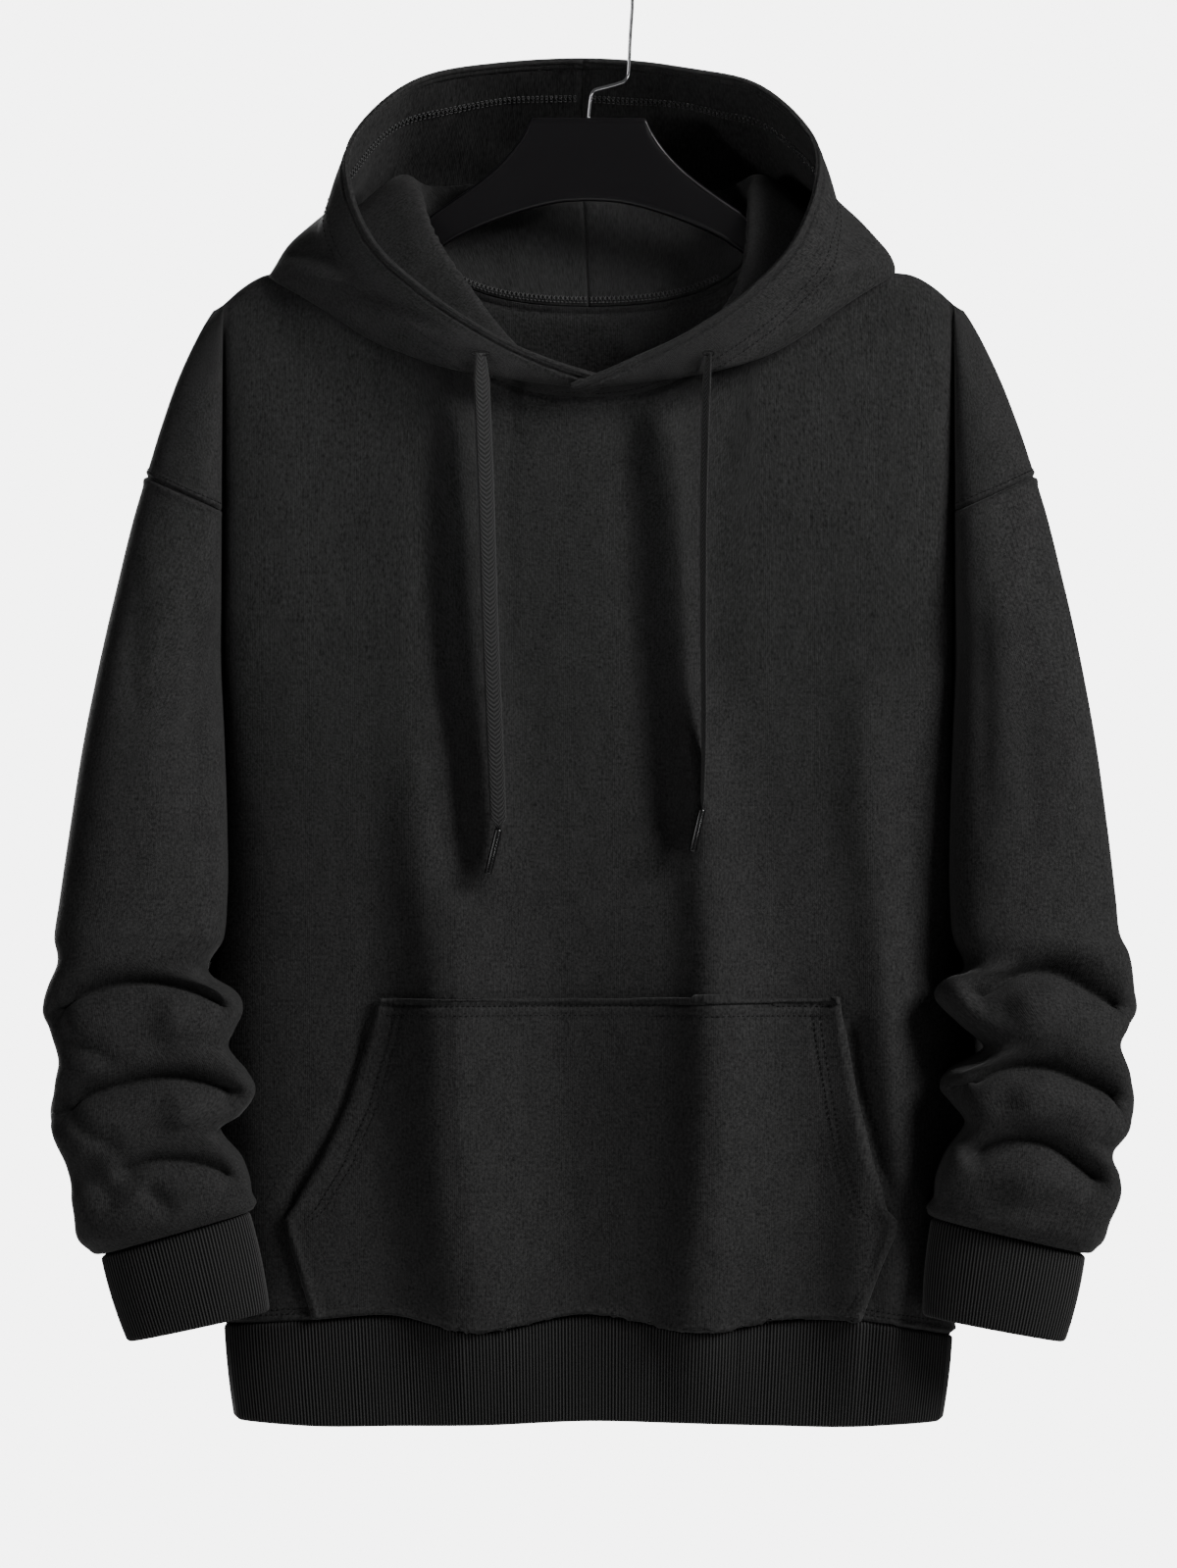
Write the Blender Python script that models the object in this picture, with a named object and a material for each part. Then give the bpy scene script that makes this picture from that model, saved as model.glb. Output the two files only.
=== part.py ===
"""A pullover hoodie hanging on a plain moulded hanger with a wire hook.

Metres, +Z up, +X to the right as seen from the front, the front facing -Y. The origin is the
inner top of the hook, where a rail carries it. Tables are in millimetres. Every cloth piece is
a wall: its outer points come from the body, arm and hood surfaces below, and its inner points
lie one wall thickness in along normals that neighbouring pieces share at their seams.
"""

import math

import bmesh
import bpy
import numpy as np
from mathutils import Vector

MM = 0.001

# ---------------------------------------------------------------- cloth
FLEECE = 2.2           # wall of the brushed fleece
RIB_WALL = 2.4         # doubled rib, to the bottom of its grooves
RIB_PITCH = 2.07       # one rib and one groove
RIB_HEIGHT = 0.6
SEAM_PULL = 0.2        # each piece stops this far short of its seam line
SHARP_SEAM_PULL = 0.4  # more for the hood and sleeves, which turn back sharply at theirs

# ---------------------------------------------------------------- body
CREASE_X = 224.5       # where the front turns into the arm, below the hanger's end
UNDERARM_Z = -440.0
SLEEVE_SEAM_Z = -344.0      # the dropped shoulder seam, at the crease
SLEEVE_SEAM_RISE = 22.0     # and how much higher it is on the outer arm
SHOULDER_SLOPE = 0.51
NECK_HALF_WIDTH = 104.0
NECK_POINT_Z = -165.0       # the high point of the shoulder, beside the neck
FRONT_NECK_DROP = 110.0
BACK_NECK_DROP = 51.0
NECK_ROUNDNESS = 2.4
SHOULDER_CAP = 9.5          # half the thickness of the cloth over the hanger's arm
FILL_LENGTH = 75.0          # how soon the body fills out below the shoulder line
SIDE_ROUNDNESS = 3.0

# Half the body's width, the depth of its front and back beyond the shoulder cap, and how far its
# side leans to the front (negative), level by level.
BODY = [
    # z,     half_width, front, back, side_y
    (-226.0, 224.5, 30.0, 20.0, 0.0),
    (-300.0, 224.5, 34.0, 24.0, -3.0),
    (-344.0, 224.5, 36.0, 26.0, -6.0),
    (-440.0, 224.5, 38.0, 27.0, -14.0),
    (-475.0, 222.5, 38.0, 27.0, -11.0),
    (-600.0, 221.5, 37.0, 26.0, -3.0),
    (-760.0, 221.5, 35.0, 24.0, 0.0),
    (-842.0, 222.0, 32.0, 21.0, 0.0),
    (-902.0, 217.5, 28.0, 18.0, 0.0),
]
# The largest soft grooves hanging down the front and the back: where each starts and ends.
FRONT_FOLDS = [
    # top_x, top_z, foot_x, foot_z, half_width, depth
    (-94.0, -290.0, -80.0, -560.0, 17.0, 5.0),
    (36.0, -290.0, 60.0, -545.0, 20.0, 5.0),
    (-118.0, -510.0, -106.0, -860.0, 20.0, 6.0),
    (56.0, -560.0, 66.0, -860.0, 18.0, 6.0),
    (160.0, -500.0, 150.0, -780.0, 20.0, 5.0),
    (204.0, -560.0, 204.0, -850.0, 15.0, 4.0),
]
BACK_FOLDS = [
    # top_x, top_z, foot_x, foot_z, half_width, depth
    (-150.0, -300.0, -110.0, -700.0, 28.0, 6.0),
    (-30.0, -420.0, -40.0, -880.0, 30.0, 5.0),
    (92.0, -330.0, 72.0, -800.0, 28.0, 6.0),
    (168.0, -480.0, 150.0, -880.0, 24.0, 5.0),
]
# The hem seam and the hem's lower edge wave a little where the folds reach them.
HEM_EDGE = [
    # x,     seam_z, foot_z
    (-222.0, -842.0, -900.0),
    (-168.0, -839.0, -902.0),
    (-120.0, -836.0, -904.0),
    (-72.0, -845.0, -904.0),
    (0.0, -835.0, -901.0),
    (72.0, -845.0, -903.0),
    (120.0, -838.0, -904.0),
    (160.0, -838.0, -904.0),
    (222.0, -849.0, -901.0),
]
BACK_HEM_FOOT_Z = -899.0
HEM_WAVE_TOP_Z = -760.0    # above this the rows are level
SIDE_SEAM_X = 222.0        # at the hem seam

# Columns of the front and the back from the centre out. Those that end at the neck are given
# with the turn, in degrees, that their top has along the neckline's curve.
FRONT_NECK_COLUMNS = [(0.0, 0.0), (19.0, 8.0), (38.0, 18.5), (57.0, 31.0), (74.0, 46.0),
                      (88.0, 62.0), (98.0, 84.0), (104.0, 90.0)]
FRONT_COLUMNS = [124.0, 145.0, 165.0, 184.0, 200.0, 212.0]
BACK_NECK_COLUMNS = [(0.0, 0.0), (38.0, 17.5), (72.0, 40.0), (96.0, 84.0), (104.0, 90.0)]
BACK_COLUMNS = [145.0, 184.0, 212.0]
ROWS_TO_UNDERARM = 12
ROWS_IN_ARMHOLE = 4
ROWS_TO_SHOULDER = 4
SHOULDER_ROWS = (12.0, 3.0, 0.0)   # the last rows, this far below the shoulder line

# ---------------------------------------------------------------- arms
SEAM_STEPS = 5         # columns of the dropped shoulder, from the crease to the outer arm
CAP_ROWS = 3           # rows of the sleeve between its seam and its first full ring
CAP_END = 488.0
ARM_STEPS = ROWS_IN_ARMHOLE + SEAM_STEPS   # columns of half a sleeve
ARM_BACK_SHARE = 0.8   # the back of the arm is this much flatter than its front
UPPER_ARM = [
    # station, inner_x, inner_z, outer_x, outer_z, depth, forward
    (229.0, 224.5, -229.0, 231.0, -229.0, 2.0, 0.0),
    (240.0, 224.5, -240.0, 240.0, -240.0, 8.0, 0.0),
    (260.0, 224.5, -260.0, 249.5, -260.0, 15.0, -1.0),
    (290.0, 224.5, -290.0, 260.5, -290.0, 22.0, -3.0),
    (320.0, 224.5, -320.0, 270.5, -320.0, 28.0, -4.5),
    (344.0, 224.5, -344.0, 277.0, -344.0, 32.0, -6.0),
    (392.0, 224.5, -392.0, 288.5, -392.0, 40.0, -10.0),
    (440.0, 224.5, -440.0, 299.0, -440.0, 46.0, -14.0),
    (488.0, 225.5, -488.0, 308.0, -488.0, 50.0, -19.0),
    (536.0, 225.8, -536.0, 315.0, -536.0, 50.0, -25.0),
    (584.0, 226.2, -584.0, 321.5, -584.0, 49.0, -31.0),
    (606.0, 227.8, -606.0, 324.5, -605.0, 47.0, -35.0),
]
# Below that the sleeve is pushed together: tucks (narrow) and rolls (wide) take turns.
LEFT_FOREARM = [
    # station, inner_x, inner_z, outer_x, outer_z, depth, forward
    (627.0, 231.0, -629.0, 323.5, -624.0, 40.0, -38.0),
    (636.0, 217.0, -637.0, 329.0, -635.0, 45.0, -41.0),
    (649.0, 210.6, -648.0, 333.0, -650.0, 48.0, -43.0),
    (663.0, 216.0, -662.0, 327.0, -664.0, 43.0, -44.0),
    (676.0, 220.0, -673.0, 322.0, -680.0, 39.0, -45.0),
    (690.0, 208.5, -687.0, 324.5, -694.0, 43.0, -47.0),
    (706.0, 203.2, -700.0, 328.0, -712.0, 45.0, -48.0),
    (720.0, 212.0, -713.0, 325.0, -727.0, 40.0, -48.0),
    (734.0, 225.6, -724.0, 317.5, -743.0, 35.0, -49.0),
    (747.0, 212.0, -739.0, 314.5, -755.0, 39.0, -49.0),
    (761.0, 206.0, -754.0, 313.6, -768.0, 40.0, -49.0),
    (774.0, 206.5, -764.0, 309.0, -784.0, 34.0, -48.0),
    (785.0, 207.5, -771.5, 296.5, -798.6, 25.0, -47.0),
]
RIGHT_FOREARM = [
    # station, inner_x, inner_z, outer_x, outer_z, depth, forward
    (621.0, 229.0, -625.0, 330.0, -617.0, 41.0, -38.0),
    (632.0, 215.4, -632.0, 332.5, -632.0, 46.0, -41.0),
    (646.0, 211.5, -643.0, 334.8, -649.0, 48.0, -43.0),
    (659.0, 226.0, -658.0, 329.0, -660.0, 42.0, -44.0),
    (672.0, 241.0, -673.0, 323.4, -671.0, 37.0, -45.0),
    (687.0, 219.0, -686.0, 329.4, -688.0, 43.0, -47.0),
    (700.0, 213.6, -696.0, 332.2, -704.0, 45.0, -48.0),
    (714.0, 221.0, -706.0, 328.5, -722.0, 40.0, -48.0),
    (727.0, 228.9, -718.0, 318.5, -736.0, 35.0, -49.0),
    (742.0, 218.0, -735.0, 322.0, -749.0, 39.0, -49.0),
    (756.0, 211.5, -750.0, 322.8, -762.0, 40.0, -49.0),
    (771.0, 210.4, -764.0, 315.0, -779.0, 34.0, -48.0),
    (786.0, 209.4, -775.0, 301.6, -797.4, 25.0, -47.0),
]
LEFT_CUFF_FOOT = (845.0, 195.0, -833.0, 280.0, -851.5, 21.0, -46.0)
RIGHT_CUFF_FOOT = (845.0, 204.0, -835.0, 289.0, -851.0, 21.0, -46.0)

# ---------------------------------------------------------------- hood
# A half hood, from the front centre (0) round to the centre back seam (1). Each row is one
# profile: from the neck seam up to an inner ridge, out to the fold that lies on the shoulder,
# up over the outer roll and on to the opening's edge.
HOOD = [
    # share, ridge x y z, fold x y z, roll x y z, edge x y z
    (0.00, (0, -46, -272), (0, -50, -270), (0, -54, -267), (0, -57, -262)),
    (0.12, (31, -47, -268), (33, -53, -267), (31, -58, -261), (28, -59, -253)),
    (0.24, (65, -44, -256), (74, -57, -261), (72, -62, -250), (60, -60, -238)),
    (0.37, (88, -29, -203), (118, -50, -246), (121, -58, -226), (100, -57, -211)),
    (0.49, (101, -12, -163), (156, -35, -220), (160, -44, -197), (130, -50, -180)),
    (0.59, (110, 6, -143), (182, -5, -198), (176, -17, -176), (143, -38, -145)),
    (0.70, (106, 27, -138), (170, 44, -214), (172, 34, -166), (141, -18, -113)),
    (0.82, (76, 40, -146), (114, 70, -244), (122, 84, -160), (100, 12, -84)),
    (0.92, (36, 46, -154), (56, 80, -266), (62, 108, -154), (52, 28, -72)),
    (1.00, (0, 48, -157), (0, 82, -272), (0, 113, -150), (0, 34, -67)),
]
PROFILE_STEPS = (2, 3, 3, 3)          # rows from neck to ridge, to fold, to roll, to edge
FRONT_NECK_SPLITS = (1, 1, 1, 1, 1, 3, 1)   # hood columns for each front neck interval
BACK_NECK_SPLITS = (1, 3, 3, 2)

# ---------------------------------------------------------------- pocket
POCKET_TOP_Z = -643.0
POCKET_LIFT = 0.8      # from the front's outer face to the pocket's inner face
POCKET_SEAM_GAP = 0.6
POCKET_SIDES = [
    # z,     left_x, right_x
    (-643.0, -128.0, 153.5),
    (-665.0, -133.0, 156.0),
    (-705.0, -146.0, 163.0),
    (-740.0, -162.0, 171.0),
    (-769.0, -180.0, 181.0),
    (-776.0, -186.0, 187.0),
    (-785.0, -184.5, 186.5),
    (-850.0, -168.0, 165.0),
]

# ---------------------------------------------------------------- drawcords
CORD_WIDTH = 10.0
CORD_STEPS = 3         # tube sections between each two points of a cord's route
AGLET_DIAMETER = 3.6
AGLET_SIDES = 12
TIP_GAP = 0.5
LEFT_CORD = [(-65.5, -66.6, -250.0), (-64.5, -67.1, -275.0), (-62.0, -66.1, -340.0),
             (-59.5, -65.6, -420.0), (-56.5, -65.1, -490.0), (-54.5, -65.1, -539.0)]
LEFT_AGLET_END = (-61.0, -65.1, -566.0)
RIGHT_CORD = [(73.0, -66.3, -250.0), (71.5, -66.8, -275.0), (70.0, -65.8, -340.0),
              (69.8, -65.3, -420.0), (70.2, -64.8, -480.0), (69.0, -64.8, -527.0)]
RIGHT_AGLET_END = (63.0, -64.8, -552.5)

# ---------------------------------------------------------------- hanger
HANGER_HALF_THICKNESS = 4.2
HANGER_EDGE_POINTS = 12
HANGER_INNER = [
    # x,    top_z,  bottom_z
    (0.0, -101.0, -153.0),
    (34.0, -101.0, -160.0),
    (37.0, -103.0, -161.0),
    (41.0, -112.0, -163.0),
    (48.0, -122.0, -166.0),
    (62.0, -136.0, -171.0),
    (82.0, -152.0, -178.5),
]
HANGER_ARM = [
    # x,     under the shoulder's outer face, share of the thickness
    (104.0, 4.3, 1.0),
    (122.0, 3.1, 1.0),
    (158.0, 3.0, 1.0),
    (186.0, 3.1, 1.0),
    (208.0, 3.5, 0.8),
    (222.0, 3.6, 0.65),
]
HANGER_ARM_HEIGHT = 21.0
HANGER_TIP_X = 227.0
HANGER_TIP_HEIGHT = 12.0

WIRE = 3.0
HOOK_RADIUS = 27.0             # of the wire's centre line
HOOK_STEM = [(0.0, -100.6), (0.6, -92.0), (1.8, -86.0), (6.0, -82.6), (13.0, -80.4),
             (20.0, -78.0), (23.6, -74.0), (24.8, -66.0), (25.8, -50.0), (26.8, -34.0)]
HOOK_STEM_STEPS = 2
HOOK_ARC_END = 180.0           # degrees round from the right-hand side
HOOK_ARC_STEP = 15.0


# ---------------------------------------------------------------- reading the tables
def smooth(rows, at):
    """Every column of a table at the given first-column value, along a smooth curve."""
    table = np.array(rows, dtype=float)
    if table[0, 0] > table[-1, 0]:
        table = table[::-1]
    keys, values = table[:, 0], table[:, 1:]
    at = min(max(at, keys[0]), keys[-1])
    spot = min(int(np.searchsorted(keys, at, side="right")) - 1, len(keys) - 2)
    slopes = np.gradient(values, keys, axis=0)
    step = keys[spot + 1] - keys[spot]
    t = (at - keys[spot]) / step
    return ((2 * t**3 - 3 * t**2 + 1) * values[spot] + (t**3 - 2 * t**2 + t) * step * slopes[spot]
            + (3 * t**2 - 2 * t**3) * values[spot + 1] + (t**3 - t**2) * step * slopes[spot + 1])


def curve(points, steps):
    """Points of a smooth curve through the given ones, with so many steps between each two."""
    points = np.array(points, dtype=float)
    slopes = np.gradient(points, axis=0)
    made = []
    for i, count in enumerate(steps):
        for t in np.arange(count) / count:
            made.append((2 * t**3 - 3 * t**2 + 1) * points[i] + (t**3 - 2 * t**2 + t) * slopes[i]
                        + (3 * t**2 - 2 * t**3) * points[i + 1] + (t**3 - t**2) * slopes[i + 1])
    made.append(points[-1])
    return np.array(made)


def ease(value):
    value = min(max(value, 0.0), 1.0)
    return value * value * (3 - 2 * value)


# ---------------------------------------------------------------- the body's surface
def shoulder_z(x):
    return NECK_POINT_Z - SHOULDER_SLOPE * (abs(x) - NECK_HALF_WIDTH)


def neck_edge(turn, drop):
    """x and z on the neckline, from its centre (0 degrees) to the shoulder's high point (90)."""
    angle = math.radians(turn)
    x = NECK_HALF_WIDTH * math.sin(angle) ** (2 / NECK_ROUNDNESS)
    z = NECK_POINT_Z - drop * max(math.cos(angle), 0.0) ** (2 / NECK_ROUNDNESS)
    return x, z


def shoulder_rounding(below):
    """0 on the shoulder line, 1 once the cloth has turned over the hanger's arm."""
    share = min(max(below, 0.0) / SHOULDER_CAP, 1.0)
    return math.sqrt(1 - (1 - share) ** 2)


def crease_gap(z):
    """Half the distance between the front crease and the back one; nothing at the underarm."""
    if z <= UNDERARM_Z:
        return 0.0
    opened = min(math.sqrt((z - UNDERARM_Z) / 45.0), 1.0)
    return SHOULDER_CAP * opened * shoulder_rounding(shoulder_z(CREASE_X) - z)


def fold_depth(folds, x, z):
    total = 0.0
    for top_x, top_z, foot_x, foot_z, half_width, depth in folds:
        along = (z - top_z) / (foot_z - top_z)
        if 0.0 < along < 1.0:
            centre = top_x + (foot_x - top_x) * along
            total += depth * ease(along / 0.3) * ease((1 - along) / 0.12) * math.exp(
                -((x - centre) / half_width) ** 2)
    return total


def body_point(x, z, front):
    half_width, front_depth, back_depth, side_y = smooth(BODY, z)
    depth, folds, facing = ((front_depth, FRONT_FOLDS, -1.0) if front
                            else (back_depth, BACK_FOLDS, 1.0))
    below = shoulder_z(x) - z
    share = min(abs(x) / half_width, 1.0)
    fullness = (1 - share**SIDE_ROUNDNESS) ** (1 / SIDE_ROUNDNESS)
    middle = (SHOULDER_CAP * shoulder_rounding(below)
              + depth * (1 - math.exp(-max(below, 0.0) / FILL_LENGTH)))
    middle -= fold_depth(folds, x, z)
    edge_y = side_y + facing * crease_gap(z)
    return np.array([x, edge_y * (1 - fullness) + facing * middle * fullness, z])


def arm_point(side, turn, station, front):
    """side is -1 or 1; turn goes from 0 at the crease to pi on the outer arm."""
    rows = UPPER_ARM + (LEFT_FOREARM + [LEFT_CUFF_FOOT] if side < 0
                        else RIGHT_FOREARM + [RIGHT_CUFF_FOOT])
    inner_x, inner_z, outer_x, outer_z, depth, forward = smooth(rows, station)
    share = (1 - math.cos(turn)) / 2
    x = inner_x + (outer_x - inner_x) * share
    z = inner_z + (outer_z - inner_z) * share
    facing = -1.0 if front else ARM_BACK_SHARE
    gap = crease_gap(z) * (1 - share) * (1.0 if front else 1 / ARM_BACK_SHARE)
    full = depth * max(math.sin(turn), 0.0) ** 0.9 * shoulder_rounding(shoulder_z(x) - z)
    return np.array([side * x, forward + facing * (gap + full), z])


# ---------------------------------------------------------------- grids of the master surface
def edge_heights():
    """The rows' heights on the crease and side seam, from the hem seam up."""
    top = shoulder_z(CREASE_X)
    seam = smooth(HEM_EDGE, -SIDE_SEAM_X)[0]
    rows = list(np.linspace(seam, UNDERARM_Z, ROWS_TO_UNDERARM + 1))
    rows += list(np.linspace(UNDERARM_Z, SLEEVE_SEAM_Z, ROWS_IN_ARMHOLE + 1))[1:]
    rows += list(np.linspace(SLEEVE_SEAM_Z, top - SHOULDER_ROWS[0], ROWS_TO_SHOULDER + 1))[1:]
    return rows + [top - SHOULDER_ROWS[1], top - SHOULDER_ROWS[2]]


EDGE_ROWS = edge_heights()
UNDERARM_ROW = ROWS_TO_UNDERARM
SEAM_ROW = ROWS_TO_UNDERARM + ROWS_IN_ARMHOLE
TOP_ROW = len(EDGE_ROWS) - 1


def hem_wave(x, front):
    """How far the hem seam lies above or below the level of the first row."""
    if front:
        return smooth(HEM_EDGE, x)[0] - EDGE_ROWS[0]
    left, right = smooth(HEM_EDGE, -SIDE_SEAM_X)[0], smooth(HEM_EDGE, SIDE_SEAM_X)[0]
    return left + (right - left) * (x + SIDE_SEAM_X) / (2 * SIDE_SEAM_X) - EDGE_ROWS[0]


def hem_lift(x, z, front):
    """The part of that wave that reaches a row."""
    return hem_wave(x, front) * ease((HEM_WAVE_TOP_Z - z) / (HEM_WAVE_TOP_Z - EDGE_ROWS[0]))


def body_column(x, top_x, top_z, front):
    """One column of points: level rows up to the underarm, then fitted below the given top."""
    last = EDGE_ROWS[-3]
    column = []
    for z in EDGE_ROWS[:-2]:
        rise = max(z - UNDERARM_Z, 0.0) / (last - UNDERARM_Z)
        if rise:
            z = UNDERARM_Z + rise * (top_z - SHOULDER_ROWS[0] - UNDERARM_Z)
        z += hem_lift(x, z, front)
        column.append(body_point(x + (top_x - x) * rise**2, z, front))
    column.append(body_point(top_x, top_z - SHOULDER_ROWS[1], front))
    column.append(body_point(top_x, top_z, front))
    return column


def edge_column(side, front):
    """The outermost column: side seam below the underarm, crease above it."""
    column = []
    for z in EDGE_ROWS:
        z += hem_lift(side * SIDE_SEAM_X, z, front)
        column.append(body_point(side * smooth(BODY, z)[0], z, front))
    column[-1][1] = 0.0
    return column


def body_grid(front):
    """Rows by columns of points, left to right, from the hem seam to the neck and shoulder."""
    neck, outer, drop = ((FRONT_NECK_COLUMNS, FRONT_COLUMNS, FRONT_NECK_DROP) if front
                         else (BACK_NECK_COLUMNS, BACK_COLUMNS, BACK_NECK_DROP))
    tops = [(x, *neck_edge(turn, drop)) for x, turn in neck] + [(x, x, shoulder_z(x)) for x in outer]
    across = [(-x, -top_x, top_z) for x, top_x, top_z in tops[:0:-1]] + tops
    grid = [edge_column(-1, front)]
    for x, top_x, top_z in across:
        grid.append(body_column(x, top_x, top_z, front))
        if abs(x) >= NECK_HALF_WIDTH:
            grid[-1][-1][1] = 0.0
    grid.append(edge_column(1, front))
    return np.array(grid).transpose(1, 0, 2)


def seam_turns():
    return [math.pi * k / SEAM_STEPS for k in range(SEAM_STEPS + 1)]


def seam_station(turn):
    return -(SLEEVE_SEAM_Z + SLEEVE_SEAM_RISE * (1 - math.cos(turn)) / 2)


def shoulder_grid(side, front, body):
    """The dropped shoulder, from the crease out, rows from the sleeve seam to the shoulder line."""
    crease = body[SEAM_ROW:, 0 if side < 0 else -1]
    foot, top = EDGE_ROWS[SEAM_ROW], EDGE_ROWS[TOP_ROW]
    corner_x = UPPER_ARM[0][3]
    rows = []
    for z, start in zip(EDGE_ROWS[SEAM_ROW:], crease):
        rise = (z - foot) / (top - foot)
        row = [start]
        for turn in seam_turns()[1:]:
            share = (1 - math.cos(turn)) / 2
            high = -shoulder_z(CREASE_X + (corner_x - CREASE_X) * share)
            station = seam_station(turn) * (1 - rise) + high * rise
            point = arm_point(side, turn, station, front)
            if z == top:
                point = np.array([side * (CREASE_X + (corner_x - CREASE_X) * share), 0.0, -high])
            row.append(point)
        rows.append(row)
    return np.array(rows)


def sleeve_rings(side, bodies, shoulders):
    """Closed rings of the sleeve from its seam to the cuff seam, each starting at the underarm."""
    stations = [row[0] for row in UPPER_ARM + (LEFT_FOREARM if side < 0 else RIGHT_FOREARM)
                if row[0] > CAP_END]
    halves = []
    for front in (True, False):
        armhole = list(bodies[front][UNDERARM_ROW:SEAM_ROW, 0 if side < 0 else -1])
        start = [(0.0, -point[2]) for point in armhole]
        start += [(turn, seam_station(turn)) for turn in seam_turns()]
        rows = [armhole + list(shoulders[side, front][0])]
        for share in np.arange(1, CAP_ROWS + 1) / CAP_ROWS:
            rows.append([arm_point(side, turn + (math.pi * k / ARM_STEPS - turn) * share,
                                   station + (CAP_END - station) * share, front)
                         for k, (turn, station) in enumerate(start)])
        rows += [arm_arc(side, station, front) for station in stations]
        halves.append(rows)
    return np.array([front + back[-2:0:-1] for front, back in zip(*halves)])


def arm_arc(side, station, front):
    return [arm_point(side, math.pi * k / ARM_STEPS, station, front) for k in range(ARM_STEPS + 1)]


def cuff_foot_ring(side):
    foot = (LEFT_CUFF_FOOT if side < 0 else RIGHT_CUFF_FOOT)[0]
    return arm_arc(side, foot, True) + arm_arc(side, foot, False)[-2:0:-1]


def hem_foot_loop(hem_top, front_count):
    """The hem's lower edge, point by point below its seam, drawn in a little by the rib."""
    loop = []
    for index, point in enumerate(hem_top):
        in_front = index < front_count
        foot_z = smooth(HEM_EDGE, point[0])[1] if in_front else BACK_HEM_FOOT_Z
        low = body_point(point[0] * BODY[-1][1] / BODY[-2][1], foot_z, in_front)
        if index in (0, front_count - 1):
            low[1] = 0.0
        loop.append(low)
    return loop


def neck_line(body, side):
    """The neckline of one side, from its centre out to the high point of the shoulder."""
    reach = NECK_HALF_WIDTH + 0.001
    line = [p for p in body[-1] if side * p[0] > -0.001 and abs(p[0]) < reach]
    return sorted(line, key=lambda p: abs(p[0]))


# ---------------------------------------------------------------- walls with shared normals
def key(point):
    return tuple(int(round(v * 1000)) for v in point)


NORMALS = {}


def collect_normals(points, faces):
    """Adds each face's area normal to its corners, whichever piece they belong to."""
    for face in faces:
        corners = [points[i] for i in face]
        total = np.zeros(3)
        for i in range(1, len(corners) - 1):
            total += np.cross(corners[i] - corners[0], corners[i + 1] - corners[0])
        for corner in corners:
            NORMALS[key(corner)] = NORMALS.get(key(corner), np.zeros(3)) + total


def grid_faces(rows, columns, closed=False, flip=False, turn_at=math.inf):
    """Triangles of a grid of rows by columns; from the column turn_at on, the diagonals lean over."""
    faces = []
    for r in range(rows - 1):
        for c in range(columns if closed else columns - 1):
            a, b = r * columns + c, r * columns + (c + 1) % columns
            d, e = (r + 1) * columns + c, (r + 1) * columns + (c + 1) % columns
            faces += [(a, b, e), (a, e, d)] if c < turn_at else [(a, b, d), (b, e, d)]
    return [face[::-1] for face in faces] if flip else faces


def edges_of(face):
    return [(face[i], face[(i + 1) % len(face)]) for i in range(len(face))]


def border_edges(faces):
    seen = {}
    for face in faces:
        for a, b in edges_of(face):
            seen[(a, b)] = True
    return [edge for edge in seen if (edge[1], edge[0]) not in seen]


def weld(points, faces):
    """Joins points that lie on each other and drops the ones no face uses."""
    index, kept, where = {}, [], []
    for point in points:
        spot = key(point)
        if spot not in index:
            index[spot] = len(kept)
            kept.append(np.array(point, dtype=float))
        where.append(index[spot])
    joined = [tuple(where[i] for i in face) for face in faces]
    used = sorted({i for face in joined for i in face})
    place = {old: new for new, old in enumerate(used)}
    return [kept[i] for i in used], [tuple(place[i] for i in face) for face in joined]


def pulled_in(points, faces, pull):
    """The points with the border drawn back from the seam line, within the surface."""
    border = border_edges(faces)
    rim = {i for edge in border for i in edge}
    inward = {i: np.zeros(3) for i in rim}
    for face in faces:
        centre = sum(points[i] for i in face) / len(face)
        for i in face:
            if i in rim:
                away = centre - points[i]
                inward[i] += away / np.linalg.norm(away)
    along = {i: np.zeros(3) for i in rim}
    for a, b in border:
        direction = (points[b] - points[a]) / np.linalg.norm(points[b] - points[a])
        along[a] += direction
        along[b] += direction
    moved = [point.copy() for point in points]
    for i in rim:
        tangent = along[i] / max(np.linalg.norm(along[i]), 1e-9)
        step = inward[i] - tangent * np.dot(inward[i], tangent)
        moved[i] += step / max(np.linalg.norm(step), 1e-9) * pull
    return moved


def closed_wall(seam, outer, inner, faces):
    """A closed wall: the outer faces, the inner ones turned round, and a rim between them.

    seam has the points before they were pulled in; neighbours share them, and so they split
    their rims along the same diagonals.
    """
    count = len(outer)
    made = list(faces) + [tuple(i + count for i in face[::-1]) for face in faces]
    for a, b in border_edges(faces):
        if key(seam[a]) < key(seam[b]):
            made += [(b, a, a + count), (b, a + count, b + count)]
        else:
            made += [(b, a, b + count), (a, a + count, b + count)]
    return [*outer, *inner], made


def wall_mesh(points, faces, thickness, pull=SEAM_PULL):
    outer = pulled_in(points, faces, pull)
    inner = [p - NORMALS[key(q)] * thickness for p, q in zip(outer, points)]
    return closed_wall(points, outer, inner, faces)


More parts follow.
